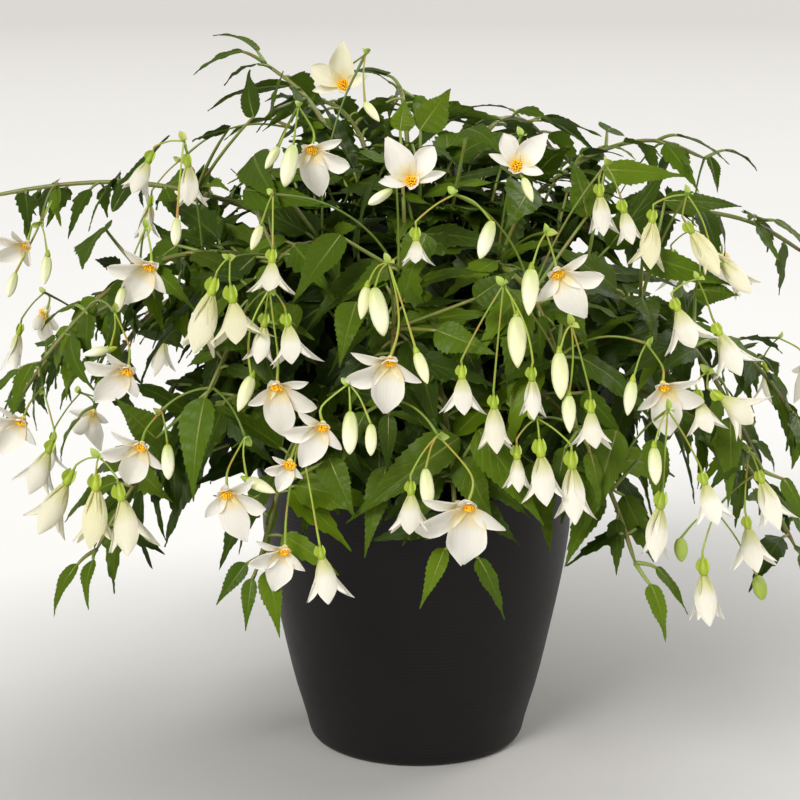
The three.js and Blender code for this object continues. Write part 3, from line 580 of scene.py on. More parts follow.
# Half width of a leaf against the distance along its blade
LEAF_OUTLINE = np.array([
    [0.0, 0.10], [0.03, 0.52], [0.08, 0.80], [0.16, 0.96], [0.27, 1.0], [0.42, 0.85],
    [0.56, 0.61], [0.70, 0.38], [0.82, 0.21], [0.92, 0.09], [1.0, 0.0],
])
SIDE_VEINS = 8
VEIN_SLANT = 0.30


def leaf_grid(leaf, teeth, across, blade, draw):
    """Points of a leaf's upper face, with toothed edges and quilted between its side veins."""
    steps = teeth * 3
    t = np.linspace(0, 1, steps + 1)
    half = np.array(across)
    s = np.concatenate([-half[::-1], [0.0], half])
    strength = np.array([draw(0.6, 1.25) for _ in range(teeth + 1)])
    phase = np.arange(steps + 1) % 3
    tooth = np.array([0.0, 0.45, 1.0])[phase] * strength[np.arange(steps + 1) // 3]
    tooth[-1] = 0
    sides = []
    wave = draw(0, FULL_TURN)
    swell = draw(1.5, 3.2)
    ruffle = draw(0.02, 0.06)
    droop = draw(0.05, 0.22)
    jag = 1.7 / (teeth + 1)
    for value in s:
        hand = 1.14 if value > 0 else 0.86
        x = abs(value)
        shift = 0.0 if value >= 0 else 0.035
        at = np.clip(t + x * shift * np.sin(math.pi * t), 0, 1)
        width = np.interp(at, LEAF_OUTLINE[:, 0], LEAF_OUTLINE[:, 1])
        width = width * hand * leaf.width * blade / 2
        lean = x**2 * tooth * 0.45 / steps
        at = np.clip(at + lean, 0, 1)
        out = width * x * (1 + jag * tooth * x**6)
        row = np.sin((t - VEIN_SLANT * x) * 2 * math.pi * SIDE_VEINS)
        quilt = 0.018 * leaf.width * row * math.sin(math.pi * x)
        ripple = ruffle * leaf.width * np.sin(t * FULL_TURN * swell + wave + value) * x**2
        rise = leaf.fold * out - droop * out * x + quilt + ripple
        point = leaf.rib(at) + np.outer(out * np.sign(value), leaf.side) + np.outer(rise, leaf.up)
        sides.append(point)
    grid = np.stack(sides, axis=1)
    places = np.stack(np.broadcast_arrays((s * 0.5 + 0.5)[None, :], t[:, None]), axis=2)
    return grid, places


FINE_ACROSS = (0.1, 0.4, 0.75, 1.0)
PLAIN_ACROSS = (0.3, 0.7, 1.0)
INNER_ACROSS = (0.55, 1.0)


# Kinds of leaf: teeth of a side, places of the points across, and share of the width of its rule
LEAF_KINDS = {
    "front": (15, FINE_ACROSS, 0.88),
    "outer": (12, PLAIN_ACROSS, 0.82),
    "fill": (6, INNER_ACROSS, 0.85),
    "inner": (5, INNER_ACROSS, 1.0),
}
SMALL_KINDS = ("fill", "inner")
LEAF_THICKNESS = 0.45
TEPAL_THICKNESS = 0.35


def add_leaf(skin, leaf, draw, kind, light):
    """A leaf with its blade and its stalk, and the rib under the blade of a large one."""
    teeth, across, blade = LEAF_KINDS[kind]
    grid, places = leaf_grid(leaf, teeth, across, blade, draw)
    tone = draw(0, 1)
    add_blade(skin, grid, places, LEAF_THICKNESS, tone, light, ("leaf", "leaf_back"))
    bow = leaf.up * draw(0.5, 2.5) + vec(draw(-1, 1), draw(-1, 1), 0)
    neck = leaf.rib(np.array([0.02]))[0] - leaf.up * 0.5
    small = kind in SMALL_KINDS
    path = bowed(leaf.root, neck, bow, 4 if small else 6)
    radii = np.linspace(1.3 if small else 1.7, 1.1, len(path))
    add_tube(skin, path, radii, 5 if small else 6, "stalk", tone, light)
    if small:
        return
    t = np.linspace(0.01, 0.86, 9)
    middle = len(across)
    spine = np.stack([np.interp(t, places[:, middle, 1], grid[:, middle, k]) for k in range(3)], axis=1)
    add_tube(skin, spine - leaf.up * 0.55, np.linspace(1.0, 0.3, 9), 4, "stalk", tone, light)


# Growth of the foliage

def packed_leaves():
    """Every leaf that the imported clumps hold, with its node and its kind."""
    found = [(*front_leaf(index, row), "front") for index, row in enumerate(FRONT_LEAVES)]
    for stem in stems:
        last = len(stem.points) - 1
        for i, point in enumerate(stem.points):
            if i < 1 or core_share(point) < 1:
                continue
            for side in (-1, 0, 1) if i == last else (0,):
                found.append((*stem_leaf(stem, i, side), "outer"))
    for k in range(SECTORS):
        for j in range(CORE_LEAVES):
            found.append((*core_leaf(k, j), "outer"))
    return [row for row in found if row[1] is not None]


FILL_STEP = 14
FILL_REACH = 0.93
FILL_LOWEST = 165
FILL_OUTER = 0.86
FILL_CORE = 0.85
FILL_TRIES = 8
BOX_LOW = np.array(CAD_BOX[0]) / MM
BOX_HIGH = np.array(CAD_BOX[1]) / MM


def canopy_share(p):
    """How far out in the canopy a point is: 1 on its smooth surface."""
    high = max(0.0, p[2] - CANOPY_MIDDLE) / CANOPY_SIZE[2]
    return math.sqrt((p[0] / CANOPY_SIZE[0]) ** 2 + (p[1] / CANOPY_SIZE[1]) ** 2 + high**2)


def filling_leaf(points, i, side, draw):
    """A smaller leaf beside a point of a stem, within the canopy and the part's box, or None."""
    along = unit(points[i + 1] - points[i - 1])
    aside = unit(np.cross(along, UP))
    point = points[i] + (points[i + 1] - points[i]) * draw(-0.5, 0.5)
    reach = max(FILL_REACH, canopy_share(point) + 0.04)
    outer = canopy_share(point) > FILL_OUTER
    if outer and (i + (side > 0)) % 2:
        return None
    short = 0.8 if outer else 1.0
    for _ in range(FILL_TRIES):
        angle = side * draw(15, 125) * DEG
        turned = along * math.cos(angle) + aside * math.sin(angle)
        way = unit(turned + UP * draw(-1.0, 0.7))
        long = draw(42, 76) * short
        base = point + unit(way + UP * 0.4) * draw(6, 15)
        tip = base + unit(way + UP * draw(-0.9, 0.1)) * long
        boxed = np.all(tip > BOX_LOW + 2) and np.all(tip < BOX_HIGH - 2)
        if boxed and canopy_share(tip) < reach and tip[2] > FILL_LOWEST:
            lift = UP + outward_at(point) * 0.6 + vec(draw(-0.8, 0.8), draw(-1.2, 0.8), 0)
            width = long * draw(0.33, 0.42)
            return Leaf(point, base, tip, lift, width, draw(0.1, 0.35), draw(0.02, 0.12), False)
    return None


def filling_leaves(stem):
    """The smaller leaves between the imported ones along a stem, each with its draws."""
    made = []
    points = even_steps(list(stem.points), FILL_STEP)
    for i in range(1, len(points) - 1):
        if core_share(points[i]) < FILL_CORE:
            continue
        for side in (-1, 1):
            draw = draws(FILL_SEED + stem.index * 400 + i * 4 + side)
            leaf = filling_leaf(points, i, side, draw)
            if leaf is not None:
                made.append((leaf, draw))
    return made


INNER_LEAVES = 58
INNER_SHARES = (0.56, 0.74, 0.88, 1.0)
INNER_LOWEST = 248
SMALL_AZIMUTH = 17


def small_leaf(root, base, way, long, lift, draw):
    width = long * draw(0.36, 0.46)
    return Leaf(root, base, base + way * long, lift, width, draw(0.05, 0.3), draw(0, 0.12), False)


def inner_leaves(k):
    """Small leaves that fill the dense middle of a clump, layer under layer."""
    made = []
    for j in range(INNER_LEAVES):
        draw = draws(INNER_SEED + k * 400 + j)
        az = sector_azimuth(k) + draw(-SMALL_AZIMUTH, SMALL_AZIMUTH)
        high = math.asin(draw(-0.42, 0.98))
        share = INNER_SHARES[j % len(INNER_SHARES)]
        out = bearing(az, high)
        normal = unit(out / CORE_SIZE)
        at = out * CORE_SIZE * share * draw(0.94, 1.06) + CORE_MIDDLE
        if at[2] < INNER_LOWEST:
            at[2] = INNER_LOWEST + draw(0, 14)
        aside = unit(np.cross(normal, UP))
        way = unit(normal * draw(0.15, 0.6) + aside * draw(-0.9, 0.9) + UP * draw(-1.2, 0.2))
        long = draw(52, 78)
        base = at - way * long * 0.4
        root = base - unit(normal + UP * draw(-0.2, 0.6)) * draw(16, 30)
        lift = normal + UP * 0.5 + vec(draw(-0.4, 0.4), draw(-0.4, 0.4), 0)
        made.append((small_leaf(root, base, way, long, lift, draw), draw, share))
    return made


CROWN_LEAVES = 8


def crown_leaves(k):
    """Leaves that close the top of the crown between the stems."""
    made = []
    for j in range(CROWN_LEAVES):
        draw = draws(CROWN_SEED + k * 400 + j)
        az = sector_azimuth(k) + draw(-SMALL_AZIMUTH, SMALL_AZIMUTH)
        high = math.asin(draw(0.78, 0.995))
        out = bearing(az, high)
        at = out * CORE_SIZE * draw(1.06, 1.28) + CORE_MIDDLE
        turn = az + draw(-80, 80)
        way = unit(polar(1, turn, draw(-0.35, 0.35)))
        long = draw(48, 74)
        base = at - way * long * 0.4
        root = base - UP * draw(18, 34) - way * draw(4, 14)
        lift = UP + polar(1, az, 0) * draw(-0.2, 0.5)
        made.append((small_leaf(root, base, way, long, lift, draw), draw))
    return made


def add_stem(skin, stem, draw):
    """A stem with its joints, from its hole in the soil to its last leaves."""
    foot = polar(STUB_CIRCLE, sector_azimuth(stem.sector), SOIL_TOP - 16)
    path = even_steps([stem.points[0]] + list(stem.points[1:]), 9)
    path = np.concatenate([[foot, foot + vec(0, 0, 12)], path])
    share = np.linspace(0, 1, len(path))
    radii = (STEM_RADIUS + (STEM_TIP_RADIUS - STEM_RADIUS) * share) * 0.85
    radii = radii * (1 + 0.16 * np.maximum(0, np.sin(share * len(stem.points) * math.pi)) ** 8)
    radii[-1] = 0.9
    add_tube(skin, path, radii, 10, "stem", draw(0, 1), 0.5)


# Flowers

# Tepals: turn about the bloom's face, length and half width as shares of the long one, how much
# further it opens than the bloom's spread, and its outline.
OPEN_TEPALS = [
    (0, 1, 0.28, -6, "long"),
    (64, 0.8, 0.225, -2, "broad"),
    (108, 0.68, 0.11, 8, "narrow"),
    (296, 0.64, 0.135, -4, "narrow"),
]
OPEN_TEPALS_LEFT = [((360 - turn) % 360, *rest) for turn, *rest in OPEN_TEPALS]
BELL_TEPALS = [
    (0, 1, 0.2, 0, "bell"),
    (120, 0.86, 0.17, 0, "bell"),
    (240, 0.92, 0.16, 0, "bell"),
]
BELL_INNER_TEPALS = [
    (62, 0.84, 0.12, -2, "narrow"),
    (300, 0.8, 0.12, -2, "narrow"),
]
HOOD_TEPALS = [
    (202, 0.2, 0.15, -18, "broad"),
    (158, 0.17, 0.1, -14, "broad"),
    (246, 0.17, 0.1, -14, "broad"),
]


def bloom_kind(kind):
    def spec(px, py, roll, long):
        return {"kind": kind, "px": px, "py": py, "roll": roll, "long": long}

    return spec


opened = bloom_kind("open")
bell = bloom_kind("bell")
bud = bloom_kind("bud")
pod = bloom_kind("pod")

# Blooms read off the photograph: pixel of the eye, roll of the long tepal from straight down
# (positive to the right) and its length in pixels.
FRONT_SPRAYS = [
    [opened(27, 243, -50, 44), bud(46, 270, 0, 28), bud(12, 285, -10, 26)],
    [opened(151, 264, -30, 50), bud(120, 300, -10, 24)],
    [bell(148, 162, -20, 42), bell(188, 166, 10, 46), bud(176, 232, 0, 26)],
    [opened(128, 368, -40, 50), bud(96, 352, -80, 28)],
    [opened(23, 419, -35, 46), bell(48, 452, -20, 50)],
    [opened(142, 444, -20, 48), bud(168, 462, 5, 32)],
    [bell(66, 484, -25, 58), bell(96, 490, 4, 60), bell(122, 500, 18, 60)],
    [opened(227, 491, 18, 52), bud(261, 486, 70, 30)],
    [bell(211, 294, -12, 62), bell(233, 302, 12, 52)],
    [opened(277, 384, 5, 52), bud(245, 394, -20, 34), bell(264, 326, -5, 40), bell(288, 326, 12, 46)],
    [bell(272, 262, 0, 40), bud(256, 238, -20, 24)],
    [opened(312, 147, 8, 50), bud(289, 166, -10, 40), bud(272, 158, -30, 24)],
    [opened(344, 85, 175, 46), bud(372, 112, 40, 24)],
    [opened(411, 181, -150, 48), bud(380, 197, -60, 26)],
    [opened(516, 166, 140, 42), bud(528, 190, 20, 24)],
    [opened(557, 271, 27, 52), bud(530, 292, -5, 42)],
    [opened(390, 359, -5, 54), bud(422, 368, 20, 30), bud(379, 312, 12, 44), bud(364, 303, -10, 30)],
    [bell(462, 378, 0, 42), bell(494, 408, 0, 46), bud(517, 342, 0, 46), bell(532, 380, 0, 38)],
    [bud(560, 376, 0, 42), bud(569, 414, 0, 34), bell(591, 412, 0, 42)],
    [opened(323, 424, -25, 46), bud(350, 433, 0, 38), bud(371, 440, 0, 28)],
    [opened(285, 548, -15, 44), bell(322, 558, 12, 50), opened(290, 462, -20, 30)],
    [opened(468, 504, -4, 66), bell(411, 494, 0, 46), bud(427, 488, 5, 34)],
    [bell(517, 458, 0, 34), bell(541, 456, 4, 52), bell(572, 468, 0, 54)],
    [opened(663, 384, 8, 52), bud(630, 398, -12, 32)],
    [bell(678, 310, 18, 50), bell(720, 334, 22, 50)],
    [bell(700, 402, 10, 40), bell(722, 398, 55, 50)],
    [bell(652, 222, -10, 50), bell(692, 232, 30, 50), bell(722, 262, 40, 44)],
    [bell(600, 196, 0, 42), bell(624, 212, 10, 36)],
    [bell(705, 484, 12, 46), bell(660, 508, -12, 52), bud(655, 466, 0, 34)],
    [bell(762, 482, 14, 50), bell(748, 528, 4, 50)],
    [bell(704, 574, 0, 52), pod(681, 550, 0, 22), pod(760, 588, 8, 24)],
    [bud(486, 240, -20, 36), bell(416, 240, 0, 30)],
]

# Front sprays whose flowers are cream instead of white.
CREAM_SPRAYS = (6, 8, 12, 26)

# Sprays of the sides and the back: azimuth and height.
BACK_SPRAYS = [
    (20, 300), (38, 380), (55, 250), (72, 340), (84, 440), (95, 270),
    (112, 380), (126, 300), (140, 440), (152, 240), (166, 340), (206, 440),
]


def posed(spec, draw, outward):
    eye = canopy_at(spec["px"], spec["py"], outward)
    rim = outward_at(eye)
    roll = spec["roll"] * DEG
    long = spec["long"] * ONE_PIXEL
    hang = vec(math.sin(roll), 0, -math.cos(roll))
    if spec["kind"] == "open":
        nod = (0.2 if abs(spec["roll"]) > 120 else -0.9) + draw(-0.1, 0.1)
        facing = unit(VIEWER * 0.7 + rim * 0.45 + UP * nod)
        return dict(spec, eye=eye, facing=facing, down=hang, long=long, ovary=False)
    facing = unit(hang + VIEWER * 0.22 + rim * 0.12)
    ovary = spec["kind"] == "bell" and spec["long"] > 50
    return dict(spec, eye=eye, facing=facing, down=VIEWER, long=long, ovary=ovary)


def back_specs(k, az, z):
    share = math.sqrt(1 - (max(0, z - CANOPY_MIDDLE) / CANOPY_SIZE[2]) ** 2)
    draw = draws(BACK_SPRAY_SEED + k)
    specs = []
    for j, kind in enumerate(("open", "bell")):
        turn = (az + (6 if j else -5)) * DEG
        across = vec(math.cos(turn) * CANOPY_SIZE[0], math.sin(turn) * CANOPY_SIZE[1], 0)
        eye = across * share + UP * (z - j * draw(8, 22))
        rim = outward_at(eye)
        facing = unit(rim - UP * 0.8) if kind == "open" else unit(rim * 0.25 - UP)
        down = -UP if kind == "open" else rim
        roll = 1 if k % 2 else -1
        specs.append(dict(kind=kind, eye=eye, facing=facing, down=down, long=36, roll=roll, ovary=False))
    return specs


class Bloom:
    """Frame of one bloom: where its tepals run, as in the part's source."""

    def __init__(self, spec, spread, curl):
        self.eye = spec["eye"] - spec["facing"]
        self.facing = spec["facing"]
        self.d0 = square(spec["down"], self.facing)
        self.e0 = np.cross(self.facing, self.d0)
        self.long = spec["long"]
        self.spread = spread
        self.curl = curl
        opened = OPEN_TEPALS_LEFT if spec["roll"] < 0 else OPEN_TEPALS
        self.tepals = opened if spec["kind"] == "open" else BELL_TEPALS

    def around(self, turn):
        return self.d0 * math.cos(turn * DEG) + self.e0 * math.sin(turn * DEG)

    def axes(self, turn, more):
        out = self.around(turn)
        lean = (self.spread + more) * DEG
        run = self.facing * math.cos(lean) + out * math.sin(lean)
        inner = self.facing * math.sin(lean) - out * math.cos(lean)
        return run, inner, np.cross(self.facing, out)

    def rib(self, t, turn, share, more):
        run, inner, _ = self.axes(turn, more)
        reach = self.long * share
        bend = -self.curl * reach * t**2
        return self.eye + self.facing + np.multiply.outer(reach * t, run) + np.multiply.outer(bend, inner)


def spray_tips(members):
    """The point of each bloom's tepals, or of each bud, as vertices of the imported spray."""
    tips = []
    for m in members:
        if m["kind"] in ("open", "bell"):
            for turn, share, _, more, _ in m["bloom"].tepals:
                tips.append(m["bloom"].rib(np.array(1.0), turn, share, more))
        else:
            tips.append(m["top"] + m["facing"] * m["long"])
    return tips


def spray_pose(index, specs, variant):
    draw = draws(SPRAY_SEED + index * 32 + variant)
    members = []
    for spec in specs:
        if "eye" in spec:
            members.append(dict(spec))
        else:
            members.append(posed(spec, draw, 4 + draw(0, 3) + variant * 1.6))
    middle = sum(m["eye"] for m in members) / len(members)
    high = max(m["eye"][2] + (m["long"] / 2 if m["kind"] == "bud" else 0) for m in members)
    rim = outward_at(middle)
    fork = vec(middle[0], middle[1], high + draw(16, 26)) + rim * draw(-12, -4)
    fork = fork + vec(draw(-4, 4), 0, 0)
    root = nearest_stems(fork)[variant // 3][3]
    for m in members:
        away = m["eye"] - fork
        swing = vec(draw(-3, 3), draw(-3, 3), 0)
        if m["kind"] in ("open", "bell"):
            m["rear"] = m["eye"] - m["facing"]
            rise = 0.9 if m["kind"] == "open" else 0.3
            enter = unit(m["facing"] * -0.8 + UP * rise)
            m["mid"] = m["rear"] + enter * (0.36 * size(away)) + swing
            spread = draw(62, 70) if m["kind"] == "open" else draw(8, 26)
            curl = draw(0.02, 0.12) if m["kind"] == "open" else draw(0.02, 0.26)
            m["bloom"] = Bloom(m, spread, curl)
        else:
            m["top"] = m["eye"] - m["facing"] * (m["long"] / 2)
    return root, fork, members


def spray_found(index, specs, node):
    """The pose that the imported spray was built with, or None."""
    for variant in range(SPRAY_POSES):
        root, fork, members = spray_pose(index, specs, variant)
        if packed[node].share(spray_tips(members)) > 0.6:
            return root, fork, members
    return None


# Half width of a tepal against the distance along it.
TEPAL_OUTLINES = {
    "long": np.array([
        [0.0, 0.3], [0.1, 0.5], [0.22, 0.76], [0.36, 0.94], [0.5, 1.0], [0.62, 0.95],
        [0.76, 0.72], [0.88, 0.42], [0.96, 0.22], [1.0, 0.1],
    ]),
    "bell": np.array([
        [0.0, 0.3], [0.06, 0.46], [0.14, 0.66], [0.26, 0.86], [0.38, 0.98], [0.5, 1.0], [0.62, 0.92],
        [0.76, 0.68], [0.88, 0.38], [0.96, 0.18], [1.0, 0.05],
    ]),
    "broad": np.array([
        [0.0, 0.3], [0.15, 0.46], [0.35, 0.74], [0.55, 0.96], [0.7, 1.0], [0.84, 0.86],
        [0.94, 0.54], [1.0, 0.12],
    ]),
    "narrow": np.array([
        [0.0, 0.34], [0.15, 0.55], [0.35, 0.88], [0.5, 1.0], [0.66, 0.92], [0.82, 0.66],
        [0.94, 0.32], [1.0, 0.06],
    ]),
}
TEPAL_ACROSS = np.array([-1.0, -0.72, -0.36, 0.0, 0.36, 0.72, 1.0])
TEPAL_ROWS = 13


def add_tepal(skin, bloom, tepal, draw, tone, light, tuck=0.0, flare=(-0.03, 0.1)):
    """A curved, faintly ribbed tepal with a thin closed skin and a notched tip."""
    turn, share, half, more, outline = tepal
    turn = turn + draw(-3, 3)
    run, inner, aside = bloom.axes(turn, more)
    t = np.linspace(0.0, 1, TEPAL_ROWS) ** 0.92
    shape = TEPAL_OUTLINES[outline]
    width = np.interp(t, shape[:, 0], shape[:, 1]) * half * bloom.long
    rib = bloom.rib(t, turn, share, more)
    cup = draw(0.22, 0.44)
    wave = draw(0, FULL_TURN)
    ruffle = draw(0.04, 0.13)
    reflex = draw(*flare)
    notch = draw(0.0, 0.035) * (outline == "long")
    curve = draw(-0.5, 0.5) * half * bloom.long * 0.3
    columns = []
    for x in TEPAL_ACROSS:
        out = x * width + curve * t**2 - curve * t
        rise = cup * width * x**2 * 1.2 - 0.05 * width * math.cos(x * 3 * math.pi)
        rise = rise + ruffle * bloom.long * half * np.sin(t * 9 + wave + 2.5 * x) * abs(x) ** 2
        rise = rise - reflex * bloom.long * t**3 - tuck * (1 - t)
        shorter = -notch * bloom.long * math.exp(-((x / 0.3) ** 2)) * t**8
        columns.append(rib + np.outer(out, aside) + np.outer(rise, inner) + np.outer(shorter, run))
    grid = np.stack(columns, axis=1)[:, ::-1]
    across = np.broadcast_to(TEPAL_ACROSS[None, ::-1] * 0.5 + 0.5, grid.shape[:2])
    along = np.broadcast_to(t[:, None], grid.shape[:2])
    places = np.stack([across, along], axis=2)
    add_blade(skin, grid, places, TEPAL_THICKNESS, tone, light, ("tepal", "tepal_back"))


def spindle(skin, base, tip, radius, sides, slot, tone, profile, light=0.5):
    """A round body from base to tip with radii that follow a profile of (along, share)."""
    profile = np.array(profile)
    path = base + np.outer(profile[:, 0], tip - base)
    add_tube(skin, path, profile[:, 1] * radius, sides, slot, tone, light)


ANTHER_PROFILE = [(0, 0.35), (0.25, 0.9), (0.6, 1), (0.88, 0.7), (1, 0.15)]


STAMENS = 30
GOLDEN_TURN = 137.5


def add_stamens(skin, bloom, draw):
    """A tight tuft of filaments, each with its anther."""
    for i in range(STAMENS):
        turn = i * GOLDEN_TURN
        reach = math.sqrt((i + 0.5) / STAMENS)
        lean = reach * 40 * DEG
        out = bloom.around(turn)
        way = unit(bloom.facing * math.cos(lean) + out * math.sin(lean))
        base = bloom.eye + bloom.facing * 1.0 + out * reach * 2.2
        long = draw(1.2, 2.4) + 1.8 * (1 - reach)
        top = base + way * long
        add_tube(skin, np.array([base, top]), [0.3, 0.26], 4, "filament", 0.5)
        end = top + way * draw(2.2, 3.0)
        spindle(skin, top - way * 0.4, end, 0.85, 6, "anther", draw(0, 1), ANTHER_PROFILE)


def add_stigmas(skin, bloom, draw):
    """Three curled yellow stigmas within a hanging bloom."""
    for i in range(3):
        out = bloom.around(i * 120 + draw(-15, 15))
        base = bloom.eye + bloom.facing * 3 + out * 0.4
        tip = base + bloom.facing * draw(6, 8.5) + out * 1.1
        side = np.cross(bloom.facing, out)
        path = bowed(base, tip, side * 0.7, 6)
        add_tube(skin, path, [0.5, 0.6, 0.8, 0.9, 0.8, 0.4], 6, "filament", 0.7)


POD_PROFILE = [(0, 0.3), (0.15, 0.5), (0.4, 0.78), (0.65, 1), (0.85, 0.95), (1, 0.6)]


def add_ovary(skin, bloom, length, radius, draw):
    """A winged ovary behind a hanging bloom."""
    tail = bloom.eye - bloom.facing * length
    spindle(skin, tail, bloom.eye + bloom.facing * 2.6, radius, 12, "ovary", draw(0, 1), POD_PROFILE)
    for i in range(3):
        out = bloom.around(60 + i * 120)
        rows = 8
        t = np.linspace(0.02, 0.98, rows)
        rise = np.sin(t * math.pi) ** 0.7 * (0.9 + 0.9 * t) + 0.4
        inner = tail + np.outer(t * length, bloom.facing) + out * radius * 0.6
        outer = inner + np.outer(rise * radius * (0.45 if i else 0.8), out)
        grid = np.stack([inner, (inner + outer) / 2, outer], axis=1)
        places = np.zeros((rows, 3, 2))
        add_blade(skin, grid, places, 0.5, 0.5, 0.6, ("ovary", "ovary"))


# Distance along a bud, and the radius there of a blunt and of a pointed one
BUD_PROFILE = np.array([
    (0, 0.3, 0.3), (0.05, 0.52, 0.58), (0.14, 0.72, 0.82), (0.28, 0.88, 0.98), (0.44, 0.98, 1.0),
    (0.6, 1.0, 0.88), (0.74, 0.9, 0.68), (0.86, 0.68, 0.44), (0.94, 0.42, 0.24), (1, 0.1, 0.05),
])
BUD_SIDES = 16


def add_bud(skin, top, facing, long, radius, draw, green):
    """A teardrop of two closed tepals, with a seam down each side."""
    pointed = draw(0, 1)
    along, blunt, sharp = BUD_PROFILE.T
    profile = blunt * (1 - pointed) + sharp * pointed
    path = top + np.outer(along * long, facing)
    turn = circle_turns(BUD_SIDES)
    arm = square(vec(0.8, 0.5, 0.1), facing)
    aside = np.cross(facing, arm)
    flat = 0.78 + 0.22 * np.abs(np.cos(turn)) ** 1.5
    seam = 1 - 0.1 * np.exp(-((np.abs(np.abs(turn - math.pi) - math.pi / 2) / 0.22) ** 2))
    circle = np.outer(np.cos(turn), arm) + np.outer(np.sin(turn) * flat, aside)
    circle = circle * seam[:, None]
    rings = path[:, None, :] + circle[None] * (profile * radius)[:, None, None]
    add_tube(skin, path, None, BUD_SIDES, "bud", draw(0, 1), green, rings=rings)
    if pointed > 0.35 and long > 20:
        spindle(skin, top - facing * 4.6, top + facing * 1.8, 2.3, 9, "ovary", draw(0, 1), POD_PROFILE)


# Room that a stalk keeps from a bell or bud, and how far it stays behind an open flower
STALK_GAP = 1.6
BEHIND_GAP = 5

# How far in front of an open flower, and in what share of its length round it, a stalk is moved
BEHIND_REACH = 22
BEHIND_SHARE = 0.34
BOW_LIMIT = 1.3
BOW_ROUNDS = 3
BODY_SHARE = 0.22


def bow_shape(share, worst):
    """A smooth bow along a stalk that is 1 at its worst point and 0 at its ends."""
    return np.sin(share * math.pi) / math.sin(share[worst] * math.pi)


def flower_body(m):
    """Foot, direction, length and radius of the space that a bell or bud takes up."""
    if m["kind"] == "bell":
        return m["eye"] - m["facing"] * 8, m["facing"], m["long"] * 0.9 + 8, m["long"] * BODY_SHARE
    return m["top"], m["facing"], m["long"], m["long"] * BODY_SHARE


def behind(path, flowers):
    """A stalk's points, bowed until it passes behind the open flowers beside it."""
    share = np.linspace(0, 1, len(path))
    free = (share > 0.15) & (share < 0.9)
    for m in flowers:
        ahead = (path - m["eye"]) @ m["facing"]
        aside = np.linalg.norm(path - m["eye"] - np.outer(ahead, m["facing"]), axis=1)
        near = (aside < m["long"] * BEHIND_SHARE) & (ahead < BEHIND_REACH)
        lack = np.where(free & near, ahead + BEHIND_GAP, 0)
        worst = int(np.argmax(lack))
        if lack[worst] > 0:
            bow = np.minimum(bow_shape(share, worst), BOW_LIMIT)
            path = path - np.outer(bow, m["facing"] * lack[worst])
    return path


def clear_of(path, bodies):
    """A stalk's points, bowed sideways past the flowers that hang beside it."""
    share = np.linspace(0, 1, len(path))
    free = (share > 0.2) & (share < 0.8)
    for foot, way, long, radius in list(bodies) * BOW_ROUNDS:
        run = np.clip((path - foot) @ way, 0, long)
        off = path - foot - np.outer(run, way)
        lack = np.where(free, radius + STALK_GAP - np.linalg.norm(off, axis=1), 0)
        worst = int(np.argmax(lack))
        if lack[worst] > 0:
            path = path + np.outer(bow_shape(share, worst), unit(off[worst]) * lack[worst])
    return path


def add_pedicel(skin, path, radii, draw, slot="pedicel", bodies=(), flowers=()):
    smooth = behind(clear_of(even_steps(path, 4.0), bodies), flowers)
    run = np.linspace(0, 1, len(smooth))
    add_tube(skin, smooth, np.interp(run, np.linspace(0, 1, len(radii)), radii), 7, slot, draw(0, 1))


def add_bract(skin, at, way, lift, long, draw):
    leaf = Leaf(at, at, at + way * long, lift, long * 0.62, 0.2, 0.12, False)
    t = np.linspace(0, 1, 7)
    half = np.sin(np.clip(t, 0, 1) ** 0.8 * math.pi) ** 0.8 * leaf.width / 2
    columns = []
    for x in (-1.0, -0.5, 0.0, 0.5, 1.0):
        points = leaf.rib(t) + np.outer(half * x, leaf.side) + np.outer(half * abs(x) * 0.4, leaf.up)
        columns.append(points)
    grid = np.stack(columns, axis=1)
    places = np.stack(np.broadcast_arrays(np.array([0, 0.25, 0.5, 0.75, 1.0])[None], t[:, None]), axis=2)
    add_blade(skin, grid, places, 0.3, draw(0, 1), 0.7, ("bract", "bract"))


# Radii along the stalks of a spray
PEDUNCLE_RADII = (1.2, 0.9, 0.82, 0.82, 1.2)
OPEN_RADII = (0.75, 0.7, 0.8, 1.2)
BELL_RADII = (0.75, 0.65, 0.7, 0.9)
BUD_RADII = (0.72, 0.66, 1.0)

HEART_PROFILE = [(0, 0.5), (0.4, 1), (0.8, 0.9), (1, 0.3)]
HEART_RADIUS = 2.3
OPEN_LIGHT = 0.9
BELL_LIGHT = 0.0
CREAM_TONE = 1.4

# Shift of the foot of each kind of open tepal: a negative one lies further in front
TUCKS = {"long": 0.0, "broad": -0.7, "narrow": -1.3}

# Length and radius of an ovary
BIG_OVARY = (11.0, 3.5)
SMALL_OVARY = (8.0, 2.8)


def add_open_flower(skin, m, fork, bodies, cream, draw):
    add_pedicel(skin, [fork, m["mid"], m["rear"]], OPEN_RADII, draw, bodies=bodies)
    bloom = m["bloom"]
    tone = draw(0, 1) - cream
    for tepal in bloom.tepals:
        add_tepal(skin, bloom, tepal, draw, tone, OPEN_LIGHT, TUCKS[tepal[4]])
    for tepal in HOOD_TEPALS:
        add_tepal(skin, bloom, tepal, draw, tone, OPEN_LIGHT)
    add_stamens(skin, bloom, draw)
    back = m["rear"] - bloom.facing * 1.6
    front = bloom.eye + bloom.facing * 2.2
    spindle(skin, back, front, HEART_RADIUS, 10, "heart", tone, HEART_PROFILE)


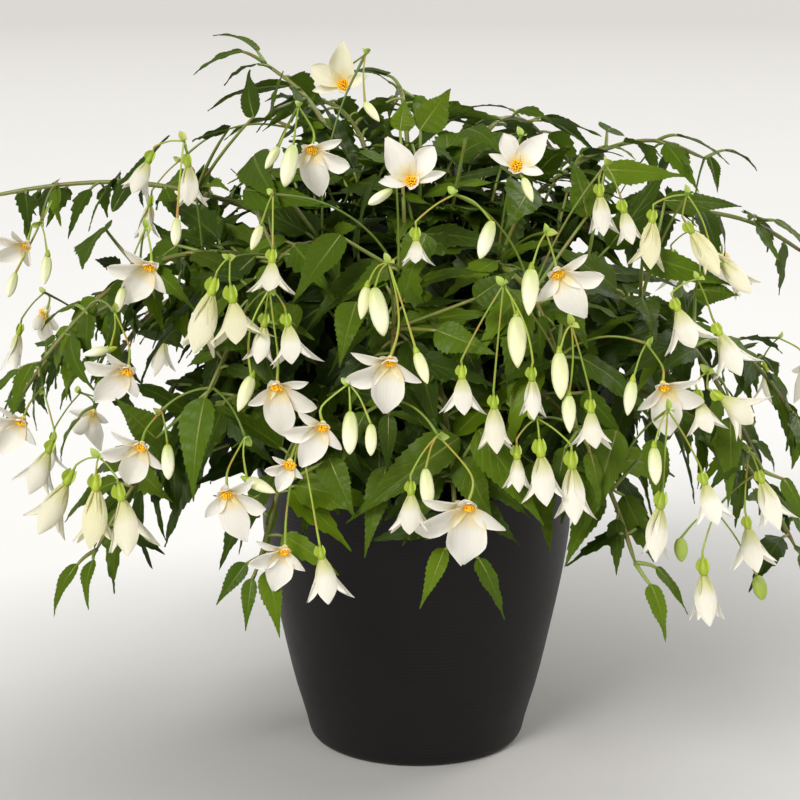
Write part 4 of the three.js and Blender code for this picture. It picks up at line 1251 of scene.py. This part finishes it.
def add_bell_flower(skin, m, fork, bodies, cream, draw):
    bloom = m["bloom"]
    length, radius = BIG_OVARY if m["ovary"] else SMALL_OVARY
    end = bloom.eye - bloom.facing * length
    top = end - bloom.facing * 4
    path = [fork, (fork + top) / 2 + UP * 2, top, end]
    add_pedicel(skin, path, BELL_RADII, draw, bodies=bodies)
    add_ovary(skin, bloom, length, radius, draw)
    tone = draw(-0.3, 1) - cream
    for tepal in BELL_TEPALS:
        add_tepal(skin, bloom, tepal, draw, tone, BELL_LIGHT, 1.1, (0.0, 0.2))
    for tepal in BELL_INNER_TEPALS:
        add_tepal(skin, bloom, tepal, draw, tone, BELL_LIGHT, 0.9, (-0.02, 0.12))
    add_stigmas(skin, bloom, draw)


def add_closed_flower(skin, m, fork, bodies, flowers, draw):
    """A bud, or a round green pod."""
    top = m["top"]
    middle = (fork + top) / 2 + UP * 2 - m["facing"] * 2
    path = [fork, middle, top + m["facing"] * 0.6]
    add_pedicel(skin, path, BUD_RADII, draw, bodies=bodies, flowers=flowers)
    if m["kind"] == "bud":
        add_bud(skin, top, m["facing"], m["long"], max(3.0, m["long"] * 0.2) * 0.96, draw, 0.4)
    else:
        add_bud(skin, top, m["facing"], m["long"], max(3.0, m["long"] * 0.3), draw, 1.0)


def add_spray(skin, index, root, fork, members):
    """A stalk from its stem to a fork, and the blooms and buds that hang from it."""
    draw = draws(SPRAY_LOOK_SEED + index)
    cream = CREAM_TONE if index in CREAM_SPRAYS else 0.0
    way = unit(fork - root)
    sag = square(UP, way) * (size(fork - root) * draw(0.04, 0.14))
    add_pedicel(skin, list(bowed(root, fork, sag, 5)), PEDUNCLE_RADII, draw, "peduncle")
    for turn in (1, -1):
        side = square(vec(0.4 * turn, -0.9 * turn, 0.3), way)
        add_bract(skin, fork - way, unit(side + way * 0.8), way - side, draw(7, 10), draw)
    flowers = [m for m in members if m["kind"] == "open"]
    for m in members:
        bodies = [flower_body(o) for o in members if o is not m and o["kind"] != "open"]
        if m["kind"] == "open":
            add_open_flower(skin, m, fork, bodies, cream, draw)
        elif m["kind"] == "bell":
            add_bell_flower(skin, m, fork, bodies, cream, draw)
        else:
            add_closed_flower(skin, m, fork, bodies, flowers, draw)


# Materials

class Tree:
    """Short calls for a material's nodes."""

    def __init__(self, name):
        self.material = bpy.data.materials.new(name)
        self.material.use_nodes = True
        self.nodes = self.material.node_tree.nodes
        self.links = self.material.node_tree.links
        self.nodes.clear()
        self.output = self.nodes.new("ShaderNodeOutputMaterial")

    def put(self, socket, value):
        """Links a socket, or sets it to a number or to a colour given as a hex triple."""
        if isinstance(value, bpy.types.NodeSocket):
            self.links.new(value, socket)
        elif isinstance(value, str):
            socket.default_value = srgb(value)
        elif value is not None:
            socket.default_value = value

    def node(self, kind, inputs=None, **settings):
        made = self.nodes.new(kind)
        for key, value in settings.items():
            setattr(made, key, value)
        for key, value in (inputs or {}).items():
            self.put(made.inputs[key], value)
        return made

    def math(self, operation, a, b=None, c=None):
        made = self.node("ShaderNodeMath", operation=operation)
        for socket, value in zip(made.inputs, (a, b, c)):
            self.put(socket, value)
        return made.outputs[0]

    def mix(self, factor, a, b):
        made = self.node("ShaderNodeMix", data_type="RGBA")
        self.put(made.inputs[0], factor)
        self.put(made.inputs[6], a)
        self.put(made.inputs[7], b)
        return made.outputs[2]

    def times(self, a, b):
        return self.math("MULTIPLY", a, b)

    def scaled(self, value, factor, more):
        return self.math("MULTIPLY_ADD", value, factor, more)

    def fade(self, value, low, high, start=1.0, end=0.0):
        """A number that runs from start to end while a value runs from low to high."""
        made = self.node("ShaderNodeMapRange", {0: value, 1: low, 2: high, 3: start, 4: end})
        return made.outputs[0]

    def attribute(self, name):
        return self.node("ShaderNodeAttribute", attribute_name=name).outputs["Fac"]

    def along(self):
        """Place across and along a blade."""
        uv = self.node("ShaderNodeUVMap", uv_map="along").outputs[0]
        split = self.node("ShaderNodeSeparateXYZ", {0: uv})
        return split.outputs[0], split.outputs[1]

    def place(self):
        return self.node("ShaderNodeTexCoord").outputs["Object"]

    def noise(self, scale, detail=3.0, rough=0.55):
        inputs = {"Scale": scale, "Detail": detail, "Roughness": rough, "Vector": self.place()}
        return self.node("ShaderNodeTexNoise", inputs).outputs["Fac"]

    def ramp(self, factor, *stops):
        made = self.node("ShaderNodeValToRGB", {0: factor})
        ramp = made.color_ramp
        while len(ramp.elements) < len(stops):
            ramp.elements.new(0.5)
        for element, (place, colour) in zip(ramp.elements, stops):
            element.position = place
            element.color = srgb(colour)
        return made.outputs[0]

    def bump(self, height, strength, distance):
        made = self.node("ShaderNodeBump", {"Strength": strength, "Distance": distance, "Height": height})
        return made.outputs[0]

    def principled(self, colour, roughness, normal=None, **sockets):
        made = self.node("ShaderNodeBsdfPrincipled", {"Base Color": colour, "Roughness": roughness})
        self.put(made.inputs["Normal"], normal)
        for key, value in sockets.items():
            made.inputs[key.replace("_", " ")].default_value = value
        return made.outputs[0]

    def finish(self, shader):
        self.links.new(shader, self.output.inputs["Surface"])
        return self.material

    def thin(self, shader, through, share, normal=None):
        """Lets light through a blade."""
        behind = self.node("ShaderNodeBsdfTranslucent", {"Color": through})
        self.put(behind.inputs["Normal"], normal)
        made = self.node("ShaderNodeMixShader", {0: share})
        self.links.new(shader, made.inputs[1])
        self.links.new(behind.outputs[0], made.inputs[2])
        return made.outputs[0]


def srgb(text):
    """Linear colour of a hex triple."""
    values = [int(text[i:i + 2], 16) / 255 for i in (0, 2, 4)]
    linear = [v / 12.92 if v <= 0.04045 else ((v + 0.055) / 1.055) ** 2.4 for v in values]
    return (*linear, 1.0)


def vein_mask(tree, count, slant, fine):
    """1 on the midrib and on the side veins of a blade, fading towards its edge."""
    across, along = tree.along()
    x = tree.math("ABSOLUTE", tree.scaled(across, 2.0, -1.0))
    bent = tree.times(tree.math("POWER", x, 0.85), slant)
    row = tree.math("FRACT", tree.times(tree.math("SUBTRACT", along, bent), count))
    near = tree.math("ABSOLUTE", tree.math("SUBTRACT", row, 0.5))
    side = tree.fade(near, 0.5 - fine, 0.5, 0.0, 1.0)
    fade = tree.fade(x, 0.25, 1.0, 1.0, 0.25)
    side = tree.times(side, fade)
    rib = tree.fade(x, 0.05, 0.11)
    return tree.math("MAXIMUM", side, rib)


def leaf_material(name, back):
    tree = Tree(name)
    tone = tree.attribute("tone")
    light = tree.attribute("light")
    veins = vein_mask(tree, SIDE_VEINS, VEIN_SLANT, 0.10)
    cloud = tree.noise(38.0, 4.0)
    grain = tree.noise(900.0, 2.0)
    dark = tree.ramp(tone, (0.0, "202e08"), (0.5, "30430a"), (1.0, "445a0b"))
    young = tree.ramp(tone, (0.0, "567408"), (1.0, "7b9610"))
    base = tree.mix(light, dark, young)
    base = tree.mix(tree.times(cloud, 0.5), base, "26380a")
    pale = tree.mix(light, "586f20", "8ea23c")
    share = tree.times(veins, 0.42 if not back else 0.6)
    colour = tree.mix(share, base, pale)
    if back:
        colour = tree.mix(0.3, colour, "708a3c")
    # Painted shade: a light below 0, which the inner leaves of a clump carry, darkens the colour towards
    # near black, the more the deeper the leaf lies.
    painted_shade = tree.fade(light, -1.0, 0.0, 0.9, 0.0)
    colour = tree.mix(painted_shade, colour, "090e04")
    height = tree.math("SUBTRACT", tree.times(grain, 0.25), tree.times(veins, 0.8))
    normal = tree.bump(height, 0.55, 0.0007)
    gloss = tree.scaled(cloud, 0.16, 0.34 if not back else 0.55)
    shader = tree.principled(colour, gloss, normal, Specular_IOR_Level=0.16)
    through = tree.mix(light, "6f8f1c", "a9c63c")
    through = tree.mix(tree.times(veins, 0.35), through, "4f6a18")
    # Painted shade also darkens the light that the inner leaves let through.
    through = tree.mix(painted_shade, through, "0b1204")
    return tree.finish(tree.thin(shader, through, 0.28, normal))


def stalk_material(name, low, high, red, gloss=0.4):
    tree = Tree(name)
    tone = tree.attribute("tone")
    cloud = tree.noise(70.0, 3.0)
    streak = tree.noise(420.0, 2.0)
    base = tree.mix(tone, low, high)
    blush = tree.fade(cloud, 0.5, 0.72, 0.0, 0.65)
    base = tree.mix(blush, base, red)
    normal = tree.bump(streak, 0.35, 0.0005)
    shader = tree.principled(base, gloss, normal, Specular_IOR_Level=0.45, Subsurface_Weight=0.12,
                             Subsurface_Radius=(0.6, 1.0, 0.3), Subsurface_Scale=0.002)
    return tree.finish(shader)


def tepal_material(name, back):
    tree = Tree(name)
    tone = tree.attribute("tone")
    light = tree.attribute("light")
    across, along = tree.along()
    lines = tree.math("SINE", tree.times(across, 58.0))
    lines = tree.scaled(lines, 0.5, 0.5)
    cloud = tree.noise(60.0, 3.0)
    white = tree.mix(tone, "f6f3ec", "fdfbf7")
    warm = tree.mix(light, "eceac4", "f6ecd8")
    foot = tree.fade(along, 0.05, 0.42)
    colour = tree.mix(tree.times(foot, 0.7), white, warm)
    green = tree.fade(along, 0.08, 0.42)
    gold = tree.mix(light, "c9d06a", "fbd84e")
    colour = tree.mix(tree.times(green, 0.9), colour, gold)
    vein = tree.times(lines, tree.scaled(cloud, 0.14, 0.02))
    colour = tree.mix(vein, colour, "d8d2b0")
    blush = tree.fade(cloud, 0.55, 0.8, 0.0, 0.18)
    colour = tree.mix(blush, colour, "f0d6cc")
    cream = tree.fade(tone, -1.2, 0.0, 0.62, 0.0)
    colour = tree.mix(cream, colour, "f3efb4")
    if back:
        colour = tree.mix(0.22, colour, "e6e2b4")
    height = tree.math("ADD", tree.times(lines, 0.5), tree.times(tree.noise(700.0), 0.4))
    normal = tree.bump(height, 0.3, 0.0004)
    shader = tree.principled(colour, 0.5, normal, Specular_IOR_Level=0.3, Sheen_Weight=0.15)
    through = tree.mix(tree.times(foot, 0.6), "fdfaf2", "ece6b4")
    return tree.finish(tree.thin(shader, through, 0.4, normal))


def bud_material():
    tree = Tree("bud")
    tone = tree.attribute("tone")
    light = tree.attribute("light")
    _, along = tree.along()
    cream = tree.mix(tone, "eceac0", "f3f0d8")
    cap = tree.fade(along, 0.08, 0.6)
    cap = tree.times(cap, tree.scaled(tone, 0.4, 0.6))
    colour = tree.mix(cap, cream, "9cb22e")
    tip = tree.fade(along, 0.8, 1.0, 0.0, 0.5)
    colour = tree.mix(tip, colour, "c9cf80")
    ripe = tree.fade(light, 0.6, 1.0, 0.0, 1.0)
    colour = tree.mix(ripe, colour, "8aa32c")
    speck = tree.noise(160.0, 4.0)
    colour = tree.mix(tree.times(speck, 0.25), colour, "d8d49c")
    normal = tree.bump(tree.noise(500.0), 0.25, 0.0004)
    shader = tree.principled(colour, 0.42, normal, Specular_IOR_Level=0.4, Subsurface_Weight=0.25,
                             Subsurface_Radius=(1.0, 1.0, 0.5), Subsurface_Scale=0.003)
    return tree.finish(shader)


def anther_material():
    tree = Tree("anther")
    tone = tree.attribute("tone")
    colour = tree.mix(tone, "fdb80e", "ffd838")
    grain = tree.noise(1500.0, 2.0)
    colour = tree.mix(tree.times(grain, 0.3), colour, "f2a008")
    normal = tree.bump(grain, 0.5, 0.0004)
    return tree.finish(tree.principled(colour, 0.62, normal, Specular_IOR_Level=0.25))


# Distance between the pot's faint turned rings, in metres
RING_PITCH = 0.0031


def pot_material():
    """Dark moulded plastic with faint turned rings."""
    tree = Tree("pot_plastic")
    height = tree.node("ShaderNodeSeparateXYZ", {0: tree.place()}).outputs[2]
    cloud = tree.noise(9.0, 5.0, 0.6)
    grain = tree.noise(1400.0, 2.0, 0.6)
    ring = tree.math("SINE", tree.times(height, 2 * math.pi / RING_PITCH))
    patch = tree.fade(cloud, 0.42, 0.66, 0.0, 1.0)
    ring = tree.times(ring, patch)
    dust = tree.noise(26.0, 6.0, 0.7)
    colour = tree.mix(dust, "121011", "1a1818")
    scuff = tree.fade(tree.noise(120.0, 6.0, 0.75), 0.62, 0.8, 0.0, 0.22)
    colour = tree.mix(scuff, colour, "2c2a2a")
    ridge = tree.times(tree.scaled(ring, 0.5, 0.5), 0.3)
    colour = tree.mix(ridge, colour, "242222")
    level = tree.math("ADD", tree.times(ring, 0.6), tree.times(grain, 0.5))
    normal = tree.bump(level, 0.3, 0.0005)
    gloss = tree.scaled(dust, 0.2, 0.36)
    return tree.finish(tree.principled(colour, gloss, normal, Specular_IOR_Level=0.16))


def soil_material():
    tree = Tree("potting_soil")
    inputs = {"Vector": tree.place(), "Scale": 160.0, "Randomness": 1.0}
    clods = tree.node("ShaderNodeTexVoronoi", inputs)
    cloud = tree.noise(45.0, 6.0, 0.7)
    colour = tree.mix(cloud, "1d140d", "4a3524")
    fleck = tree.fade(tree.noise(330.0, 2.0), 0.7, 0.74, 0.0, 0.8)
    colour = tree.mix(fleck, colour, "b7ab97")
    level = tree.math("ADD", tree.times(clods.outputs["Distance"], 1.4), cloud)
    normal = tree.bump(level, 0.9, 0.004)
    return tree.finish(tree.principled(colour, 0.95, normal, Specular_IOR_Level=0.2))


# Distance from the pot over which the floor's painted contact shade and painted fall-off of the light run,
# in metres
FLOOR_REACH = 12.0


def floor_material():
    """Pale, with painted contact shade that makes it darker close to the pot, and a painted fall-off of
    the light that makes it darker far away.
    """
    tree = Tree("pale_floor")
    far = tree.node("ShaderNodeVectorMath", {0: tree.place()}, operation="LENGTH").outputs["Value"]
    far = tree.math("DIVIDE", far, FLOOR_REACH)
    # Painted shade near the pot and painted fall-off far away: darker grey at the pot, the palest tone
    # between, darker again far out.
    tones = [(0.012, "b9b7b3"), (0.028, "cbcac7"), (0.05, "e8e8e6"), (0.25, "e0dfdd"), (1.0, "c6c4c1")]
    colour = tree.ramp(far, *tones)
    cloud = tree.noise(3.0, 2.0, 0.5)
    colour = tree.mix(tree.times(cloud, 0.08), colour, "c8c6c2")
    return tree.finish(tree.principled(colour, 0.8, None, Specular_IOR_Level=0.15))


MATERIALS = {
    "leaf": leaf_material("leaf", False),
    "leaf_back": leaf_material("leaf_back", True),
    "stem": stalk_material("stem", "5b6326", "737a34", "7a4a2c"),
    "stalk": stalk_material("stalk", "65752c", "7f913e", "86583a"),
    "pedicel": stalk_material("pedicel", "748a26", "98ab3c", "bd6a40"),
    "peduncle": stalk_material("peduncle", "536a1c", "6f8428", "845a30"),
    "bract": stalk_material("bract", "8ea542", "a9bd5c", "b08a4c", 0.5),
    "filament": stalk_material("filament", "e9d271", "f2dd8a", "e8b64a", 0.6),
    "heart": stalk_material("heart", "d7cf7c", "e2dc98", "e6b88a", 0.5),
    "ovary": stalk_material("ovary", "839a1c", "a3b42e", "8f9a2c", 0.45),
    "tepal": tepal_material("tepal", False),
    "tepal_back": tepal_material("tepal_back", True),
    "bud": bud_material(),
    "anther": anther_material(),
}


# Pieces

def keep(piece, slot, *nodes):
    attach(piece, "root")
    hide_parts(*nodes)


def make_foliage():
    """One piece for each clump: its stems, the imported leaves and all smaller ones."""
    leaves = packed_leaves()
    for k in range(SECTORS):
        skin = Skin()
        draw = draws(CLUMP_LOOK_SEED + k)
        for stem in stems:
            if stem.sector == k:
                add_stem(skin, stem, draw)
        for number, (node, leaf, kind) in enumerate(leaves):
            if node != clump_name(k):
                continue
            own = draws(LEAF_LOOK_SEED + number)
            young = own(0.0, 0.45) + 0.35 * min(1.0, max(0.0, (core_share(leaf.base) - 1.2) / 0.7))
            spring = own(0.15, 0.8) if kind == "front" else min(1.0, young)
            add_leaf(skin, leaf, own, kind, spring)
        for stem in stems:
            if stem.sector == k:
                for leaf, own in filling_leaves(stem):
                    add_leaf(skin, leaf, own, "fill", own(0.0, 1.0) ** 1.6)
        for leaf, own in crown_leaves(k):
            add_leaf(skin, leaf, own, "fill", own(0.0, 0.8))
        for leaf, own, share in inner_leaves(k):
            # Painted shade: inner leaves get a light below 0, lower the deeper they lie in the core, which
            # darkens their colour.
            add_leaf(skin, leaf, own, "inner", min(0.0, 2.2 * (share - 1.0)) - own(0.0, 0.3))
        piece = skin.build(f"foliage_{k:02d}", MATERIALS)
        keep(piece, "foliage", clump_name(k))


def make_flowers():
    """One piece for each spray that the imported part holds."""
    count = 0
    specs = list(enumerate(FRONT_SPRAYS))
    specs += [(100 + k, back_specs(k, az, z)) for k, (az, z) in enumerate(BACK_SPRAYS)]
    for index, members in specs:
        node = f"flower_spray_{count:02d}"
        found = spray_found(index, members, node) if node in packed else None
        if found is None:
            continue
        skin = Skin()
        add_spray(skin, index, *found)
        piece = skin.build(f"flowers_{count:02d}", MATERIALS)
        keep(piece, "flowers", node)
        count += 1


POT_SIDES = 144


def make_pot():
    """The pot's profile turned finely, with rounded corners."""
    r = POT_BASE_RADIUS
    top = POT_RIM_RADIUS
    outer = [
        (0, 0.6), (60, 0.6), (74, 0.1), (r - 1, 0), (r + 2, 0.7), (r + 4.2, 2.2), (r + 5.9, 4.4),
        (r + 7, 7), (91.9, 19), (95.6, 32), (99.5, 45), (103.7, 62), (107.7, 80), (111.5, 98),
        (114.9, 114), (118.1, 130), (121, 146), (123.5, 162), (125.6, 178), (126.4, 199),
        (126.9, 216), (127.2, 220), (128, 222.6), (129.3, 223.6), (top, 224.6), (top, 229.5),
        (top - 0.5, 231.2), (top - 1.6, POT_HEIGHT), (top - 3.8, POT_HEIGHT), (top - 4.8, 231.4),
    ]
    inner = [
        (top - 5.4, 229), (top - 6.1, 222), (125.6 - POT_WALL, 178), (99.5 - POT_WALL, 45),
        (r + 7 - POT_WALL, POT_FLOOR + 6), (r, POT_FLOOR), (0, POT_FLOOR),
    ]
    profile = np.array(outer + inner, dtype=float)
    sides = POT_SIDES
    turn = circle_turns(sides)
    level = np.full(sides, 1.0)
    rings = np.array([np.stack([r * np.cos(turn), r * np.sin(turn), level * z], axis=1)
                      for r, z in profile[1:-1]])
    skin = Skin()
    count = len(rings) * sides
    vertices = np.concatenate([rings.reshape(-1, 3), [[0, 0, profile[0, 1]], [0, 0, profile[-1, 1]]]])
    skin.add(vertices, ring_faces(len(rings), sides), "pot")
    around = np.arange(sides)
    after = (around + 1) % sides
    last = (len(rings) - 1) * sides
    under = np.stack([np.full(sides, count), after, around], axis=1)
    over = np.stack([np.full(sides, count + 1), last + around, last + after], axis=1)
    skin.more(under, "pot")
    skin.more(over, "pot")
    piece = skin.build("pot_shell", {"pot": pot_material()})
    piece.data.set_sharp_from_angle(angle=50 * DEG)
    keep(piece, "pot", "pot")


make_foliage()
make_flowers()
make_pot()
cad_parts["soil"].data.materials.clear()
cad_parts["soil"].data.materials.append(soil_material())


# Stage, light and camera

FLOOR_HALF = 30.0
SENSOR_WIDTH = 36
FARTHEST = 50


def make_stage():
    """A pale floor, whose material paints contact shade near the pot and a fall-off of the light far away.
    """
    half = FLOOR_HALF
    mesh = bpy.data.meshes.new("floor")
    corners = [(-half, -half, 0), (half, -half, 0), (half, half, 0), (-half, half, 0)]
    mesh.from_pydata(corners, [], [(0, 1, 2, 3)])
    mesh.materials.append(floor_material())
    floor = bpy.data.objects.new("floor", mesh)
    bpy.context.scene.collection.objects.link(floor)


def soft_sun(name, place, strength, spread, colour):
    """An even light from the direction of a place, as soft as a wide studio lamp."""
    light = bpy.data.lights.new(name, "SUN")
    light.energy = strength
    light.angle = spread * DEG
    light.color = colour
    lamp = bpy.data.objects.new(name, light)
    lamp.location = place
    yaw = math.atan2(-place[0], -place[1])
    pitch = math.atan2(math.hypot(place[0], place[1]), place[2])
    lamp.rotation_euler = (pitch, 0, -yaw)
    bpy.context.scene.collection.objects.link(lamp)


# Lamps: place that they shine from, strength, spread in degrees and colour
LAMPS = {
    "key": ((-1.1, -1.9, 1.5), 2.85, 22, (1.0, 0.99, 0.975)),
    "rim": ((1.5, 1.2, 1.5), 1.7, 34, (1.0, 0.99, 0.97)),
    "fill": ((1.8, -1.3, 0.6), 0.7, 50, (1.0, 1.0, 1.0)),
}
SKY_COLOUR = (1.0, 0.99, 0.97, 1)
SKY_STRENGTH = 0.38


def make_light():
    world = bpy.data.worlds.new("studio")
    world.use_nodes = True
    back = world.node_tree.nodes["Background"]
    back.inputs[0].default_value = SKY_COLOUR
    back.inputs[1].default_value = SKY_STRENGTH
    bpy.context.scene.world = world
    bpy.context.scene.view_settings.view_transform = "Standard"
    for name, lamp in LAMPS.items():
        soft_sun(name, *lamp)


def make_camera():
    """The photograph's view: same place, pitch and angle of view."""
    camera = bpy.data.cameras.new("camera")
    camera.sensor_width = SENSOR_WIDTH
    camera.lens = PHOTO_FOCUS / PHOTO_WIDTH * SENSOR_WIDTH
    camera.clip_end = FARTHEST
    view = bpy.data.objects.new("camera", camera)
    view.location = tuple(PHOTO_EYE * MM)
    view.rotation_euler = (math.pi / 2 - PHOTO_PITCH, 0, 0)
    bpy.context.scene.collection.objects.link(view)
    bpy.context.scene.camera = view


make_stage()
make_light()
make_camera()
